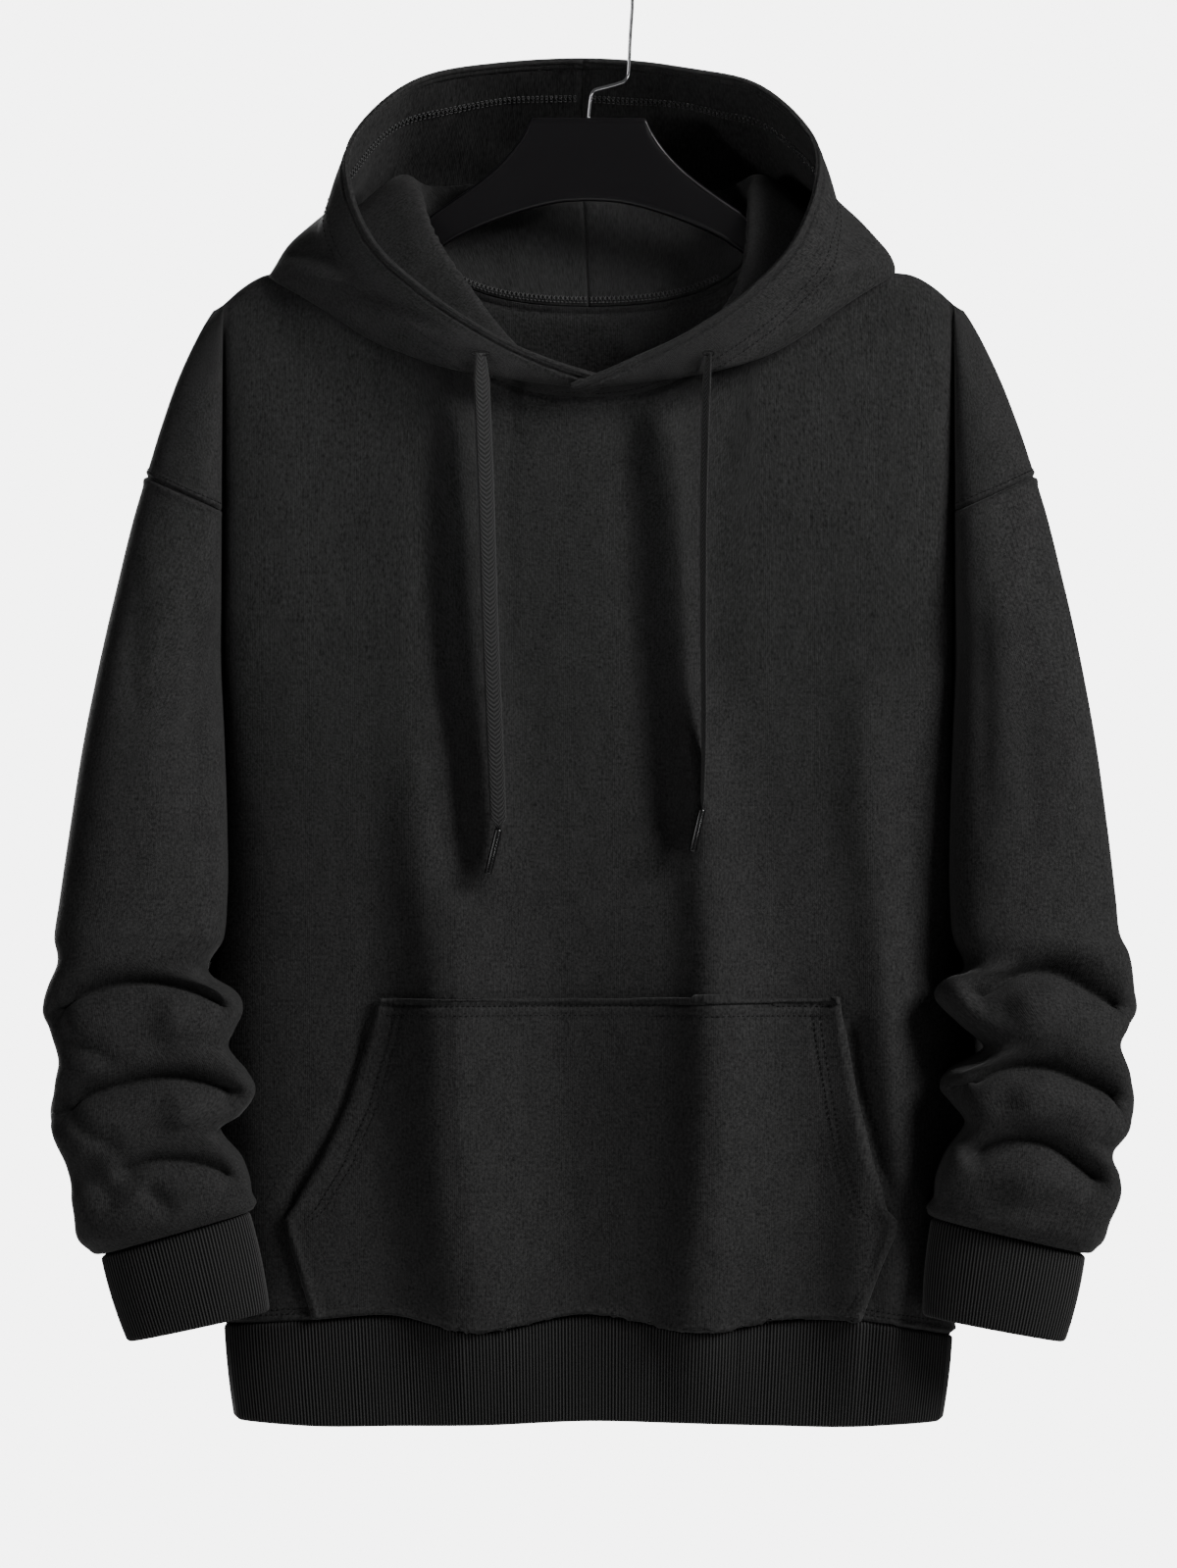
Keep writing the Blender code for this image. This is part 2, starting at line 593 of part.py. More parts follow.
def ribbed_mesh(top, foot, thickness):
    """A rib band between two closed coarse loops, top and foot, that run the same way round.

    The ribs stand on the outer face; the inner face is plain and has the coarse loops' corners.
    """
    count = len(top)
    down = [(f - t) / np.linalg.norm(f - t) for t, f in zip(top, foot)]
    top_normals = [NORMALS[key(p)] for p in top]
    foot_normals = [NORMALS[key(p)] for p in foot]
    top = [p + d * SEAM_PULL for p, d in zip(top, down)]
    points, strips = [], []
    for i in range(count):
        j = (i + 1) % count
        ribs = max(1, round(np.linalg.norm(top[j] - top[i]) / RIB_PITCH))
        strip = []
        for k in range(2 * ribs):
            share = k / (2 * ribs)
            raised = RIB_HEIGHT * (k % 2)
            for ends, normals in ((top, top_normals), (foot, foot_normals)):
                normal = normals[i] * (1 - share) + normals[j] * share
                points.append(ends[i] * (1 - share) + ends[j] * share + normal * raised)
            strip.append(len(points) // 2 - 1)
        strips.append(strip)
    inner = len(points)
    for i in range(count):
        points.append(top[i] - top_normals[i] * thickness)
        points.append(foot[i] - foot_normals[i] * thickness)
    faces = []
    total = inner // 2
    for i in range(total):
        j = (i + 1) % total
        faces += [(2 * i, 2 * i + 1, 2 * j + 1), (2 * i, 2 * j + 1, 2 * j)]
    for i in range(count):
        j = (i + 1) % count
        a, b = inner + 2 * i, inner + 2 * j
        faces += [(a, b, b + 1), (a, b + 1, a + 1)]
        fine = strips[i] + [strips[j][0]]
        middle = len(fine) // 2
        for k in range(len(fine) - 1):
            near = a if k < middle else b
            faces.append((2 * fine[k], 2 * fine[k + 1], near))
            faces.append((2 * fine[k + 1] + 1, 2 * fine[k] + 1, near + 1))
        faces.append((2 * fine[middle], b, a))
        faces.append((2 * fine[middle] + 1, a + 1, b + 1))
    return points, faces


# ---------------------------------------------------------------- objects and materials
def material(name, colour, roughness, metallic=0.0):
    made = bpy.data.materials.new(name)
    made.use_nodes = True
    made.diffuse_color = (*colour, 1.0)
    shader = made.node_tree.nodes["Principled BSDF"]
    shader.inputs["Base Color"].default_value = (*colour, 1.0)
    shader.inputs["Roughness"].default_value = roughness
    shader.inputs["Metallic"].default_value = metallic
    return made


def add_object(name, points, faces, finish):
    """A mesh object in metres from points in millimetres, with its faces turned outwards."""
    mesh = bpy.data.meshes.new(name)
    bm = bmesh.new()
    verts = [bm.verts.new([v * MM for v in point]) for point in points]
    for face in faces:
        bm.faces.new([verts[i] for i in face])
    bmesh.ops.recalc_face_normals(bm, faces=bm.faces)
    bm.to_mesh(mesh)
    bm.free()
    mesh.shade_smooth()
    mesh.set_sharp_from_angle(angle=math.radians(50))
    mesh.materials.append(finish)
    made = bpy.data.objects.new(name, mesh)
    bpy.context.collection.objects.link(made)
    return made


def add_tube(name, points, diameter, finish):
    """A round cord or wire: a curve with a bevel and filled ends."""
    data = bpy.data.curves.new(name, "CURVE")
    data.dimensions = "3D"
    data.bevel_depth = diameter / 2 * MM
    data.bevel_resolution = 2
    data.use_fill_caps = True
    spline = data.splines.new("POLY")
    spline.points.add(len(points) - 1)
    for target, point in zip(spline.points, points):
        target.co = (*[v * MM for v in point], 1.0)
    spline.use_smooth = True
    data.materials.append(finish)
    made = bpy.data.objects.new(name, data)
    bpy.context.collection.objects.link(made)
    return made


# ---------------------------------------------------------------- the pieces
def hood_grid(side, front_neck, back_neck):
    """Rows by columns of a half hood: columns from the front centre back, rows up its profile."""
    neck = []
    for line, splits in ((front_neck, FRONT_NECK_SPLITS), (back_neck, BACK_NECK_SPLITS)):
        for start, end, count in zip(line, line[1:], splits):
            neck += [start + (end - start) * k / count for k in range(count)]
    neck.append(back_neck[-1])
    lengths = [0.0] + [float(np.linalg.norm(b - a)) for a, b in zip(neck, neck[1:])]
    shares = np.cumsum(lengths) / sum(lengths)
    rows = [[share, *ridge, *fold, *roll, *edge] for share, ridge, fold, roll, edge in HOOD]
    columns = []
    for point, share in zip(neck, shares):
        guide = smooth(rows, share).reshape(4, 3) * (side, 1, 1)
        columns.append(curve([point, *guide], PROFILE_STEPS))
    return np.array(columns).transpose(1, 0, 2)


def blend_neck_normals(necks):
    """Gives the points on each neck interval the blend of its ends' normals, as the panel has."""
    for line, splits in necks:
        for start, end, count in zip(line, line[1:], splits):
            for k in range(1, count):
                blend = NORMALS[key(start)] * (1 - k / count) + NORMALS[key(end)] * k / count
                NORMALS[key(start + (end - start) * k / count)] = blend


def pocket_mesh(front_grid):
    """The pocket from the front's own points, moved out and cut to the pocket's outline."""
    normals = np.array([[NORMALS[key(point)] for point in row] for row in front_grid])
    middle = front_grid.shape[1] // 2
    below = sum(1 for row in front_grid if row[middle][2] < POCKET_TOP_Z)
    low, high = front_grid[below - 1], front_grid[below]
    share = (POCKET_TOP_Z - low[middle][2]) / (high[middle][2] - low[middle][2])
    rows = [*front_grid[:below], low + (high - low) * share]
    facing = [*normals[:below], normals[below - 1] * (1 - share) + normals[below] * share]
    points, outward, lines = [], [], []
    for row, directions in zip(rows, facing):
        limits = smooth(POCKET_SIDES, row[middle][2])
        line = []
        for column in range(len(row) - 1):
            start, end = row[column], row[column + 1]
            if limits[0] < start[0] < limits[1]:
                line.append((column, start, directions[column]))
            for limit in limits:
                if start[0] < limit <= end[0]:
                    part = (limit - start[0]) / (end[0] - start[0])
                    line.append((column + 0.5, start + (end - start) * part,
                                 directions[column] * (1 - part) + directions[column + 1] * part))
        line.sort(key=lambda item: item[0])
        lines.append([(item[0], len(points) + i) for i, item in enumerate(line)])
        points += [item[1] for item in line]
        outward += [item[2] / np.linalg.norm(item[2]) for item in line]
    for _, index in lines[0]:
        points[index] = points[index] + (0, 0, POCKET_SEAM_GAP)
    faces = []
    for lower, upper in zip(lines, lines[1:]):
        i = j = 0
        while i < len(lower) - 1 or j < len(upper) - 1:
            next_low = lower[i + 1][0] if i < len(lower) - 1 else math.inf
            next_up = upper[j + 1][0] if j < len(upper) - 1 else math.inf
            if next_up < next_low or (next_up == next_low and next_up <= middle):
                faces.append((lower[i][1], upper[j + 1][1], upper[j][1]))
                j += 1
            else:
                faces.append((lower[i][1], lower[i + 1][1], upper[j][1]))
                i += 1
    outer = [p + n * (POCKET_LIFT + FLEECE) for p, n in zip(points, outward)]
    inner = [p + n * POCKET_LIFT for p, n in zip(points, outward)]
    return closed_wall(points, outer, inner, faces)


def hanger_mesh():
    """The hanger as rounded sections across, from one end to the other."""
    stations = [(x, top, foot, 1.0) for x, top, foot in HANGER_INNER]
    for x, under, thick in HANGER_ARM:
        top = shoulder_z(x) - under * math.hypot(1, SHOULDER_SLOPE)
        stations.append((x, top, top - HANGER_ARM_HEIGHT, thick))
    top = stations[-1][1] - HANGER_TIP_HEIGHT / 3
    stations.append((HANGER_TIP_X, top, top - HANGER_TIP_HEIGHT, 0.5))
    stations = [(-x, top, foot, thick) for x, top, foot, thick in stations[:0:-1]] + stations
    points = []
    for x, top, foot, thick in stations:
        for k in range(HANGER_EDGE_POINTS):
            angle = 2 * math.pi * (k + 0.5) / HANGER_EDGE_POINTS
            across = HANGER_HALF_THICKNESS * thick * signed_power(math.sin(angle), 0.8)
            high = (top + foot) / 2 + (top - foot) / 2 * signed_power(math.cos(angle), 0.5)
            points.append(np.array([x, across, high]))
    count = HANGER_EDGE_POINTS
    faces = grid_faces(len(stations), count, closed=True)
    last = (len(stations) - 1) * count
    faces += [(0, k, k + 1) for k in range(1, count - 1)]
    faces += [(last, last + k + 1, last + k) for k in range(1, count - 1)]
    return points, faces


def signed_power(value, power):
    return math.copysign(abs(value) ** power, value)


def hook_line():
    """The wire's centre line: the stem with its jog, then the open hook over the rail."""
    stem = curve([(x, 0.0, z) for x, z in HOOK_STEM], [HOOK_STEM_STEPS] * (len(HOOK_STEM) - 1))
    centre_z = WIRE / 2 - HOOK_RADIUS
    angles = np.arange(0.0, HOOK_ARC_END + 0.1, HOOK_ARC_STEP)
    arc = [(HOOK_RADIUS * math.cos(math.radians(a)), 0.0,
            centre_z + HOOK_RADIUS * math.sin(math.radians(a))) for a in angles]
    return [*stem, *arc]


def add_aglet(name, start, end, finish):
    """A moulded tip: a short rod with rounded ends, just below the cord's end."""
    start, end = np.array(start), np.array(end)
    length = float(np.linalg.norm(end - start))
    start = start + (end - start) / length * TIP_GAP
    length -= TIP_GAP
    bm = bmesh.new()
    bmesh.ops.create_cone(bm, cap_ends=True, segments=AGLET_SIDES, radius1=AGLET_DIAMETER / 2 * MM,
                          radius2=AGLET_DIAMETER / 2 * MM, depth=length * MM)
    rims = [e for e in bm.edges if abs(e.verts[0].co.z - e.verts[1].co.z) < 1e-9]
    bmesh.ops.bevel(bm, geom=rims, offset=0.5 * MM, segments=1, profile=0.5, affect="EDGES",
                    material=-1)
    mesh = bpy.data.meshes.new(name)
    bm.to_mesh(mesh)
    bm.free()
    mesh.shade_smooth()
    mesh.set_sharp_from_angle(angle=math.radians(30))
    mesh.materials.append(finish)
    made = bpy.data.objects.new(name, mesh)
    made.location = [v * MM for v in (start + (end - start) / 2)]
    made.rotation_mode = "QUATERNION"
    made.rotation_quaternion = Vector(end - start).to_track_quat("Z", "Y")
    bpy.context.collection.objects.link(made)
    return made


# ---------------------------------------------------------------- putting the hoodie together
for old in list(bpy.data.objects):
    bpy.data.objects.remove(old)

FLEECE_CLOTH = material("fleece", (0.014, 0.014, 0.015), 0.9)
RIB_KNIT = material("rib_knit", (0.011, 0.011, 0.012), 0.9)
BRAID = material("cord_braid", (0.013, 0.013, 0.014), 0.85)
GLOSS_PLASTIC = material("tip_plastic", (0.012, 0.012, 0.013), 0.3)
SATIN_PLASTIC = material("hanger_plastic", (0.018, 0.017, 0.02), 0.4)
CHROME = material("hook_chrome", (0.6, 0.6, 0.62), 0.2, 1.0)

bodies = {front: body_grid(front) for front in (True, False)}
shoulders = {(side, front): shoulder_grid(side, front, bodies[front])
             for side in (-1, 1) for front in (True, False)}

# The front and the back: body and both dropped shoulders, each one piece of cloth.
cloths = {}
for front, name in ((True, "front"), (False, "back")):
    body = bodies[front]
    points = list(body.reshape(-1, 3))
    faces = grid_faces(*body.shape[:2], flip=not front, turn_at=body.shape[1] // 2)
    for side in (-1, 1):
        cap = shoulders[side, front]
        cap_faces = grid_faces(cap.shape[0], cap.shape[1], flip=(side < 0) == front)
        faces += [tuple(i + len(points) for i in face) for face in cap_faces]
        points += list(cap.reshape(-1, 3))
    cloths[name] = weld(points, faces)

# The sleeves run from the armhole seam to the cuff seam; the cuffs hang from their last ring.
bands = {}
for side, hand in ((-1, "left"), (1, "right")):
    rings = sleeve_rings(side, bodies, shoulders)
    faces = grid_faces(rings.shape[0], rings.shape[1], closed=True, flip=side > 0)
    cloths[f"sleeve_{hand}"] = (list(rings.reshape(-1, 3)), faces)
    top, foot = list(rings[-1]), cuff_foot_ring(side)
    bands[f"cuff_{hand}"] = (top, foot) if side > 0 else (top[::-1], foot[::-1])

# The hem band hangs from the front's and the back's lowest points.
hem_top = [*bodies[True][0], *bodies[False][0][-2:0:-1]]
bands["hem_rib"] = (hem_top, hem_foot_loop(hem_top, bodies[True].shape[1]))

# The hood's halves rise from the neckline and meet in the centre back seam.
necks = []
for side, hand in ((-1, "left"), (1, "right")):
    front_neck = neck_line(bodies[True], side)
    back_neck = neck_line(bodies[False], side)[::-1]
    necks += [(front_neck, FRONT_NECK_SPLITS), (back_neck, BACK_NECK_SPLITS)]
    half = hood_grid(side, front_neck, back_neck)
    cloths[f"hood_{hand}"] = (list(half.reshape(-1, 3)),
                              grid_faces(half.shape[0], half.shape[1], flip=side < 0))

for points, faces in cloths.values():
    collect_normals(points, faces)
for top, foot in bands.values():
    loop = [*top, *foot]
    collect_normals(loop, grid_faces(2, len(top), closed=True, flip=True))
for front in (True, False):
    for x, y, z in [*bodies[front][-1], *shoulders[-1, front][-1], *shoulders[1, front][-1]]:
        if y == 0.0:
            NORMALS[key((x, y, z))] = np.array([math.copysign(SHOULDER_SLOPE, x), 0.0, 1.0])
for spot, total in NORMALS.items():
    NORMALS[spot] = total / np.linalg.norm(total)
blend_neck_normals(necks)

for name, (points, faces) in cloths.items():
    pull = SEAM_PULL if name in ("front", "back") else SHARP_SEAM_PULL
    add_object(name, *wall_mesh(points, faces, FLEECE, pull), FLEECE_CLOTH)
for name, (top, foot) in bands.items():
    add_object(name, *ribbed_mesh(top, foot, RIB_WALL), RIB_KNIT)
add_object("pocket", *pocket_mesh(bodies[True]), FLEECE_CLOTH)

for hand, route, tip in (("left", LEFT_CORD, LEFT_AGLET_END), ("right", RIGHT_CORD, RIGHT_AGLET_END)):
    line = curve(route, [CORD_STEPS] * (len(route) - 1))
    add_tube(f"drawcord_{hand}", line, CORD_WIDTH, BRAID)
    add_aglet(f"aglet_{hand}", line[-1], tip, GLOSS_PLASTIC)

add_object("hanger", *hanger_mesh(), SATIN_PLASTIC)
add_tube("hook", hook_line(), WIRE, CHROME)
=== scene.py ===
"""The looks of a black fleece pullover hoodie hanging on a moulded hanger with a wire hook."""

import math

import bmesh
import bpy
import numpy as np
from mathutils import Matrix, Vector


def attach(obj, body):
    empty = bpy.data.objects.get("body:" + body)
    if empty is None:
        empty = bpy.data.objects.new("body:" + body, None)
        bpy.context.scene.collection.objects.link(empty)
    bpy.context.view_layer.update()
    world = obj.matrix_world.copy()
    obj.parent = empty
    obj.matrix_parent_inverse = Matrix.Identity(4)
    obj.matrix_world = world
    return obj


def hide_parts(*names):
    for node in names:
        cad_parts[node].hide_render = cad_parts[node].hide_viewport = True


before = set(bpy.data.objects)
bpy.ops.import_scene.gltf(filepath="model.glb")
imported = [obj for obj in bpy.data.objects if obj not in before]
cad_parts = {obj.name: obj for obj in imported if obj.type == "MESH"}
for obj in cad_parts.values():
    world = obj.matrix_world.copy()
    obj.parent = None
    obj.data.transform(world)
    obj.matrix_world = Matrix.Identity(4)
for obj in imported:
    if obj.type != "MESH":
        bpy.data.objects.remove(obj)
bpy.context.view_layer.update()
MM = 0.001

# ------------------------------------------------------------------ camera
# A long lens, level with the middle of the garment, far enough away for nearly straight views.
VIEW_HEIGHT = 0.9594          # what the frame's long side takes in, at the cloth's front
CAMERA_AWAY = 4.5
CLOTH_FRONT_Y = -0.03
CAMERA_Z = -0.5115

eye = bpy.data.cameras.new("eye")
eye.sensor_width = 36.0
eye.lens = eye.sensor_width * CAMERA_AWAY / VIEW_HEIGHT
eye.clip_start, eye.clip_end = 0.05, 60.0
eye_stand = bpy.data.objects.new("eye", eye)
eye_stand.location = (0.0, CLOTH_FRONT_Y - CAMERA_AWAY, CAMERA_Z)
eye_stand.rotation_euler = (math.radians(90), 0.0, 0.0)
bpy.context.scene.collection.objects.link(eye_stand)
bpy.context.scene.camera = eye_stand


# ------------------------------------------------------------------ drawcords
# Flat woven cords, 10 mm wide, that leave two buttonholes in the hood's rim and hang free in
# front of the chest. The left one shows its face; the right one has turned edge-on.
class Wire:
    """A shader socket that can be written in sums."""

    def __init__(self, net, socket):
        self.net, self.socket = net, socket

    def sum(self, operation, *others):
        return self.net.add("ShaderNodeMath", {"operation": operation}, [self, *others])

    def __add__(self, other):
        return self.sum("ADD", other)

    def __sub__(self, other):
        return self.sum("SUBTRACT", other)

    def __rsub__(self, other):
        return self.net.add("ShaderNodeMath", {"operation": "SUBTRACT"}, [other, self])

    def __mul__(self, other):
        return self.sum("MULTIPLY", other)

    def __truediv__(self, other):
        return self.sum("DIVIDE", other)

    def __pow__(self, other):
        return self.sum("POWER", other)

    __radd__ = __add__

    def sine(self):
        return self.sum("SINE")

    def fraction(self):
        return self.sum("FRACT")

    def size(self):
        return self.sum("ABSOLUTE")

    def clipped(self):
        return self.net.add("ShaderNodeClamp", {}, [self, 0.0, 1.0])

    def above(self, low, high):
        return self.net.add("ShaderNodeMapRange", {"interpolation_type": "SMOOTHSTEP"},
                            [self, low, high, 0.0, 1.0])


class Finish:
    """A material being built, with one method for every kind of node."""

    def __init__(self, name, colour, roughness, **fixed):
        self.material = bpy.data.materials.new(name)
        self.material.use_nodes = True
        self.material.diffuse_color = (*colour, 1.0)
        self.tree = self.material.node_tree
        self.shader = self.tree.nodes["Principled BSDF"]
        self.shader.inputs["Base Color"].default_value = (*colour, 1.0)
        self.shader.inputs["Roughness"].default_value = roughness
        for name, value in fixed.items():
            self.shader.inputs[name.replace("_", " ")].default_value = value

    def add(self, kind, settings, values, out=0):
        node = self.tree.nodes.new(kind)
        for name, value in settings.items():
            setattr(node, name, value)
        pairs = values.items() if isinstance(values, dict) else enumerate(values)
        for place, value in pairs:
            if isinstance(value, Wire):
                self.tree.links.new(value.socket, node.inputs[place])
            elif value is not None:
                node.inputs[place].default_value = value
        return Wire(self, node.outputs[out])

    def cloth(self):
        """The cloth's own measure: across and along the knit, in millimetres."""
        spot = self.add("ShaderNodeUVMap", {"uv_map": "cloth"}, [])
        apart = self.add("ShaderNodeSeparateXYZ", {}, [spot]).socket.node.outputs
        return Wire(self, apart[0]) * 1000.0, Wire(self, apart[1]) * 1000.0

    def noise(self, across, along, scale_across, scale_along):
        at = self.add("ShaderNodeCombineXYZ", {}, [across * (1 / scale_across),
                                                  along * (1 / scale_along)])
        return self.add("ShaderNodeTexNoise", {"noise_dimensions": "3D"},
                        {"Vector": at, "Scale": 1.0, "Detail": 2.0, "Roughness": 0.6})

    def blend(self, amount, low, high):
        return self.add("ShaderNodeMix", {"data_type": "RGBA"}, {0: amount, 6: low, 7: high}, out=2)

    def drive(self, place, wire):
        self.tree.links.new(wire.socket, self.shader.inputs[place])

    def relief(self, height, distance, strength):
        self.drive("Normal", self.add("ShaderNodeBump", {}, {
            "Strength": strength, "Distance": distance, "Height": height}))


def between(t, spot, values, slopes, step=1.0):
    """Places at the share t of the way from the values at spot to the next, on a smooth curve."""
    return ((2 * t**3 - 3 * t**2 + 1) * values[spot] + (t**3 - 2 * t**2 + t) * step * slopes[spot]
            + (3 * t**2 - 2 * t**3) * values[spot + 1] + (t**3 - t**2) * step * slopes[spot + 1])


def along(points, steps):
    """Points of a smooth curve through the given ones, with so many steps between each two."""
    points = np.array(points, dtype=float)
    slopes = np.gradient(points, axis=0)
    t = np.arange(steps)[:, None] / steps
    made = [between(t, i, points, slopes) for i in range(len(points) - 1)]
    return np.vstack([*made, points[-1:]])


def lengths(points):
    """How far along each point lies, from the first, in the points' own unit."""
    steps = np.linalg.norm(np.diff(points, axis=0), axis=1)
    return np.concatenate([[0.0], np.cumsum(steps)])


def picked(points, far, spots):
    """The points' values at other distances along them."""
    return np.stack([np.interp(spots, far, points[:, i]) for i in range(3)], 1)


def unit(ways):
    return ways / np.maximum(np.linalg.norm(ways, axis=-1, keepdims=True), 1e-9)


def down(line, points):
    """The same measure along every row of points."""
    return np.repeat(line[None], len(points), 0)


def over(line, points):
    """The same measure along every column of points."""
    return np.repeat(line[:, None], points.shape[1], 1)


def smoothed(bm):
    for face in bm.faces:
        face.smooth = True
    return bm


def cloth_grid(points, across, up, close=False):
    """A bmesh from rows by columns of points in millimetres, with the cloth's measure as its UV."""
    rows, columns = points.shape[:2]
    bm = bmesh.new()
    bmesh.ops.create_grid(bm, x_segments=columns - 1, y_segments=rows - 1, size=1.0)
    measure = bm.loops.layers.uv.new("cloth")
    bm.verts.ensure_lookup_table()
    for vert, place in zip(bm.verts, points.reshape(-1, 3) * MM):
        vert.co = place
    bm.verts.index_update()
    flat_across, flat_up = across.ravel() * MM, up.ravel() * MM
    for face in smoothed(bm).faces:
        for loop in face.loops:
            loop[measure].uv = (flat_across[loop.vert.index], flat_up[loop.vert.index])
    if close:
        bmesh.ops.remove_doubles(bm, verts=bm.verts, dist=1e-6)
    return bm


def shaped(name, bm, finish):
    mesh = bpy.data.meshes.new(name)
    bm.to_mesh(mesh)
    bm.free()
    mesh.materials.append(finish.material)
    made = bpy.data.objects.new(name, mesh)
    bpy.context.scene.collection.objects.link(made)
    return made


def piece(name, bm, finish, slot, *nodes):
    """Makes the object, lets it ride with the hanger and stand for its solids."""
    made = shaped(name, bm, finish)
    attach(made, "root")
    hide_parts(*nodes)
    return made


CORD_WIDE, CORD_THICK, CORD_SIDES = 10.0, 1.7, 16
LEFT_ROUTE = [
    (-65.5, -66.6, -250), (-64.5, -67.1, -275), (-62, -66.1, -340), (-59.5, -65.6, -420),
    (-56.5, -65.1, -490), (-54.5, -65.1, -539),
]
RIGHT_ROUTE = [
    (73, -66.3, -250), (71.5, -66.8, -275), (70, -65.8, -340), (69.8, -65.3, -420),
    (70.2, -64.8, -480), (69, -64.8, -527),
]
LEFT_TIP_END, RIGHT_TIP_END = (-61.0, -65.1, -566.0), (63.0, -64.8, -552.5)

braid = Finish("woven_cord", (0.012, 0.012, 0.012), 0.85, Specular_IOR_Level=0.1,
               Sheen_Weight=0.03, Sheen_Roughness=0.5)
u, v = braid.cloth()
chevron = ((v + (u / 2.5 - 2.0).size() * 4.6) / 2.8).fraction() - 0.5
# The woven chevrons, and along one long edge a painted shade: the colour there is darkened as by
# the cord's own shadow.
ply_with_edge_shade = (1.0 - chevron.size() * 2.0) * (u.above(1.8, 2.8) * 0.7 + 0.3)
braid.drive("Base Color", braid.blend(ply_with_edge_shade.clipped(), (0.004, 0.004, 0.004, 1),
                                      (0.019, 0.0189, 0.0188, 1)))
braid.relief(ply_with_edge_shade, 0.0004, 0.8)


def power(value, to):
    return np.sign(value) * np.abs(value) ** to


def flat_cord(name, route, turn_top, turn_foot, node):
    """A flat tube whose broad side turns from one heading to another on its way down."""
    line = along(route, 14)
    far = lengths(line)
    turn = np.radians(turn_top + (turn_foot - turn_top) * far / far[-1])
    angle = 2 * np.pi * np.arange(CORD_SIDES + 1) / CORD_SIDES
    wide = power(np.cos(angle), 0.6) * CORD_WIDE / 2
    thick = power(np.sin(angle), 0.6) * CORD_THICK / 2
    drawn_in = np.minimum(np.clip((far[-1] - far) / 6.0, 0.32, 1.0),
                          0.6 + 0.4 * np.clip(far / 16.0, 0.0, 1.0))[:, None]
    x = (wide * np.cos(turn)[:, None] - thick * np.sin(turn)[:, None]) * drawn_in
    y = (wide * np.sin(turn)[:, None] + thick * np.cos(turn)[:, None]) * drawn_in
    points = np.stack([line[:, :1] + x, line[:, 1:2] + y, over(line[:, 2], x)], 2)
    across = down(np.abs(angle - np.pi) / np.pi * CORD_WIDE, x)
    bm = cloth_grid(points, across, over(far, x), close=True)
    bmesh.ops.holes_fill(bm, edges=[e for e in bm.edges if e.is_boundary])
    bmesh.ops.recalc_face_normals(bm, faces=bm.faces)
    made = piece(name, bm, braid, "cord_braid", node)


# Their ends are drawn into short moulded tips, round, black and glossy.
TIP_WIDE = 4.6
tip_black = Finish("moulded_tip", (0.0012, 0.0012, 0.0012), 0.24, Specular_IOR_Level=0.35)


def moulded_tip(name, start, end, node):
    start, end = np.array(start), np.array(end)
    reach = float(np.linalg.norm(end - start))
    bm = bmesh.new()
    bmesh.ops.create_cone(bm, cap_ends=True, segments=20, radius1=TIP_WIDE / 2 * MM,
                          radius2=TIP_WIDE / 2 * MM, depth=reach * MM)
    rims = [e for e in bm.edges if abs(e.verts[0].co.z - e.verts[1].co.z) < 1e-9]
    bmesh.ops.bevel(bm, geom=rims, offset=0.7 * MM, segments=3, profile=0.5, affect="EDGES",
                    material=-1)
    turned = Vector(end - start).to_track_quat("Z", "Y")
    bmesh.ops.rotate(bm, verts=bm.verts, matrix=turned.to_matrix())
    bmesh.ops.translate(bm, verts=bm.verts, vec=Vector((start + end) / 2 * MM))
    return piece(name, smoothed(bm), tip_black, "tip_plastic", node)


left_tip = moulded_tip("tip_left", LEFT_ROUTE[-1], LEFT_TIP_END, "aglet_left")
right_tip = moulded_tip("tip_right", RIGHT_ROUTE[-1], RIGHT_TIP_END, "aglet_right")
flat_cord("cord_left", LEFT_ROUTE, 8.0, -6.0, "drawcord_left")
flat_cord("cord_right", RIGHT_ROUTE, -62.0, -80.0, "drawcord_right")

# ------------------------------------------------------------------ front and back panels
# The body's two halves in brushed black fleece, each cut in one with its dropped shoulders and
# joined along shoulders and sides by inside seams. They hang from the hanger in soft grooves.
FLEECE, WALE_PITCH, FULL_TURN = 2.2, 1.15, 6.2832
CREASE_X, UNDERARM_Z, SLEEVE_SEAM_Z, SLEEVE_SEAM_RISE = 224.5, -440.0, -344.0, 22.0
SHOULDER_SLOPE, SHOULDER_CAP, FILL_LENGTH, SIDE_ROUNDNESS = 0.51, 9.5, 75.0, 4.4
NECK_HALF_WIDTH, NECK_POINT_Z, NECK_POWER = 104.0, -165.0, 2 / 2.4
NECK_DROP = {True: 110.0, False: 51.0}
# How far the shoulder's line rises above a straight one, by distance from the middle.
SHOULDER_RISE = [
    (104, 0), (150, 2), (172, 6), (186, 10.5), (200, 15.5), (214, 14.5), (224.5, 10.5), (240, 5),
]
HEM_LEVEL, HEM_WAVE_TOP_Z, BACK_HEM_TILT = -842.0, -760.0, 7.0
TUCK_STEEPNESS = 1.2
BODY = [
    # z,     half_width, front, back, side_y
    (-217, 224.5, 30, 20, 0), (-300, 224.5, 34, 24, -3), (-344, 224.5, 36, 26, -6),
    (-440, 224.5, 38, 27, -14), (-475, 225, 38, 27, -9), (-540, 228, 38, 26, 0),
    (-600, 234, 37, 26, 5), (-670, 244, 36, 25, 8), (-740, 240, 35, 24, 10), (-800, 230, 34, 23, 4),
    (-842, 225, 32, 21, 0), (-902, 217.5, 28, 18, 0),
]
HEM_EDGE = [
    # x,     seam_z, foot_z
    (-222, -842, -901.5), (-168, -839, -904.5), (-120, -836, -904), (-72, -845, -904),
    (0, -835, -901), (72, -845, -903), (120, -838, -904), (160, -838, -905), (222, -849, -902.5),
]
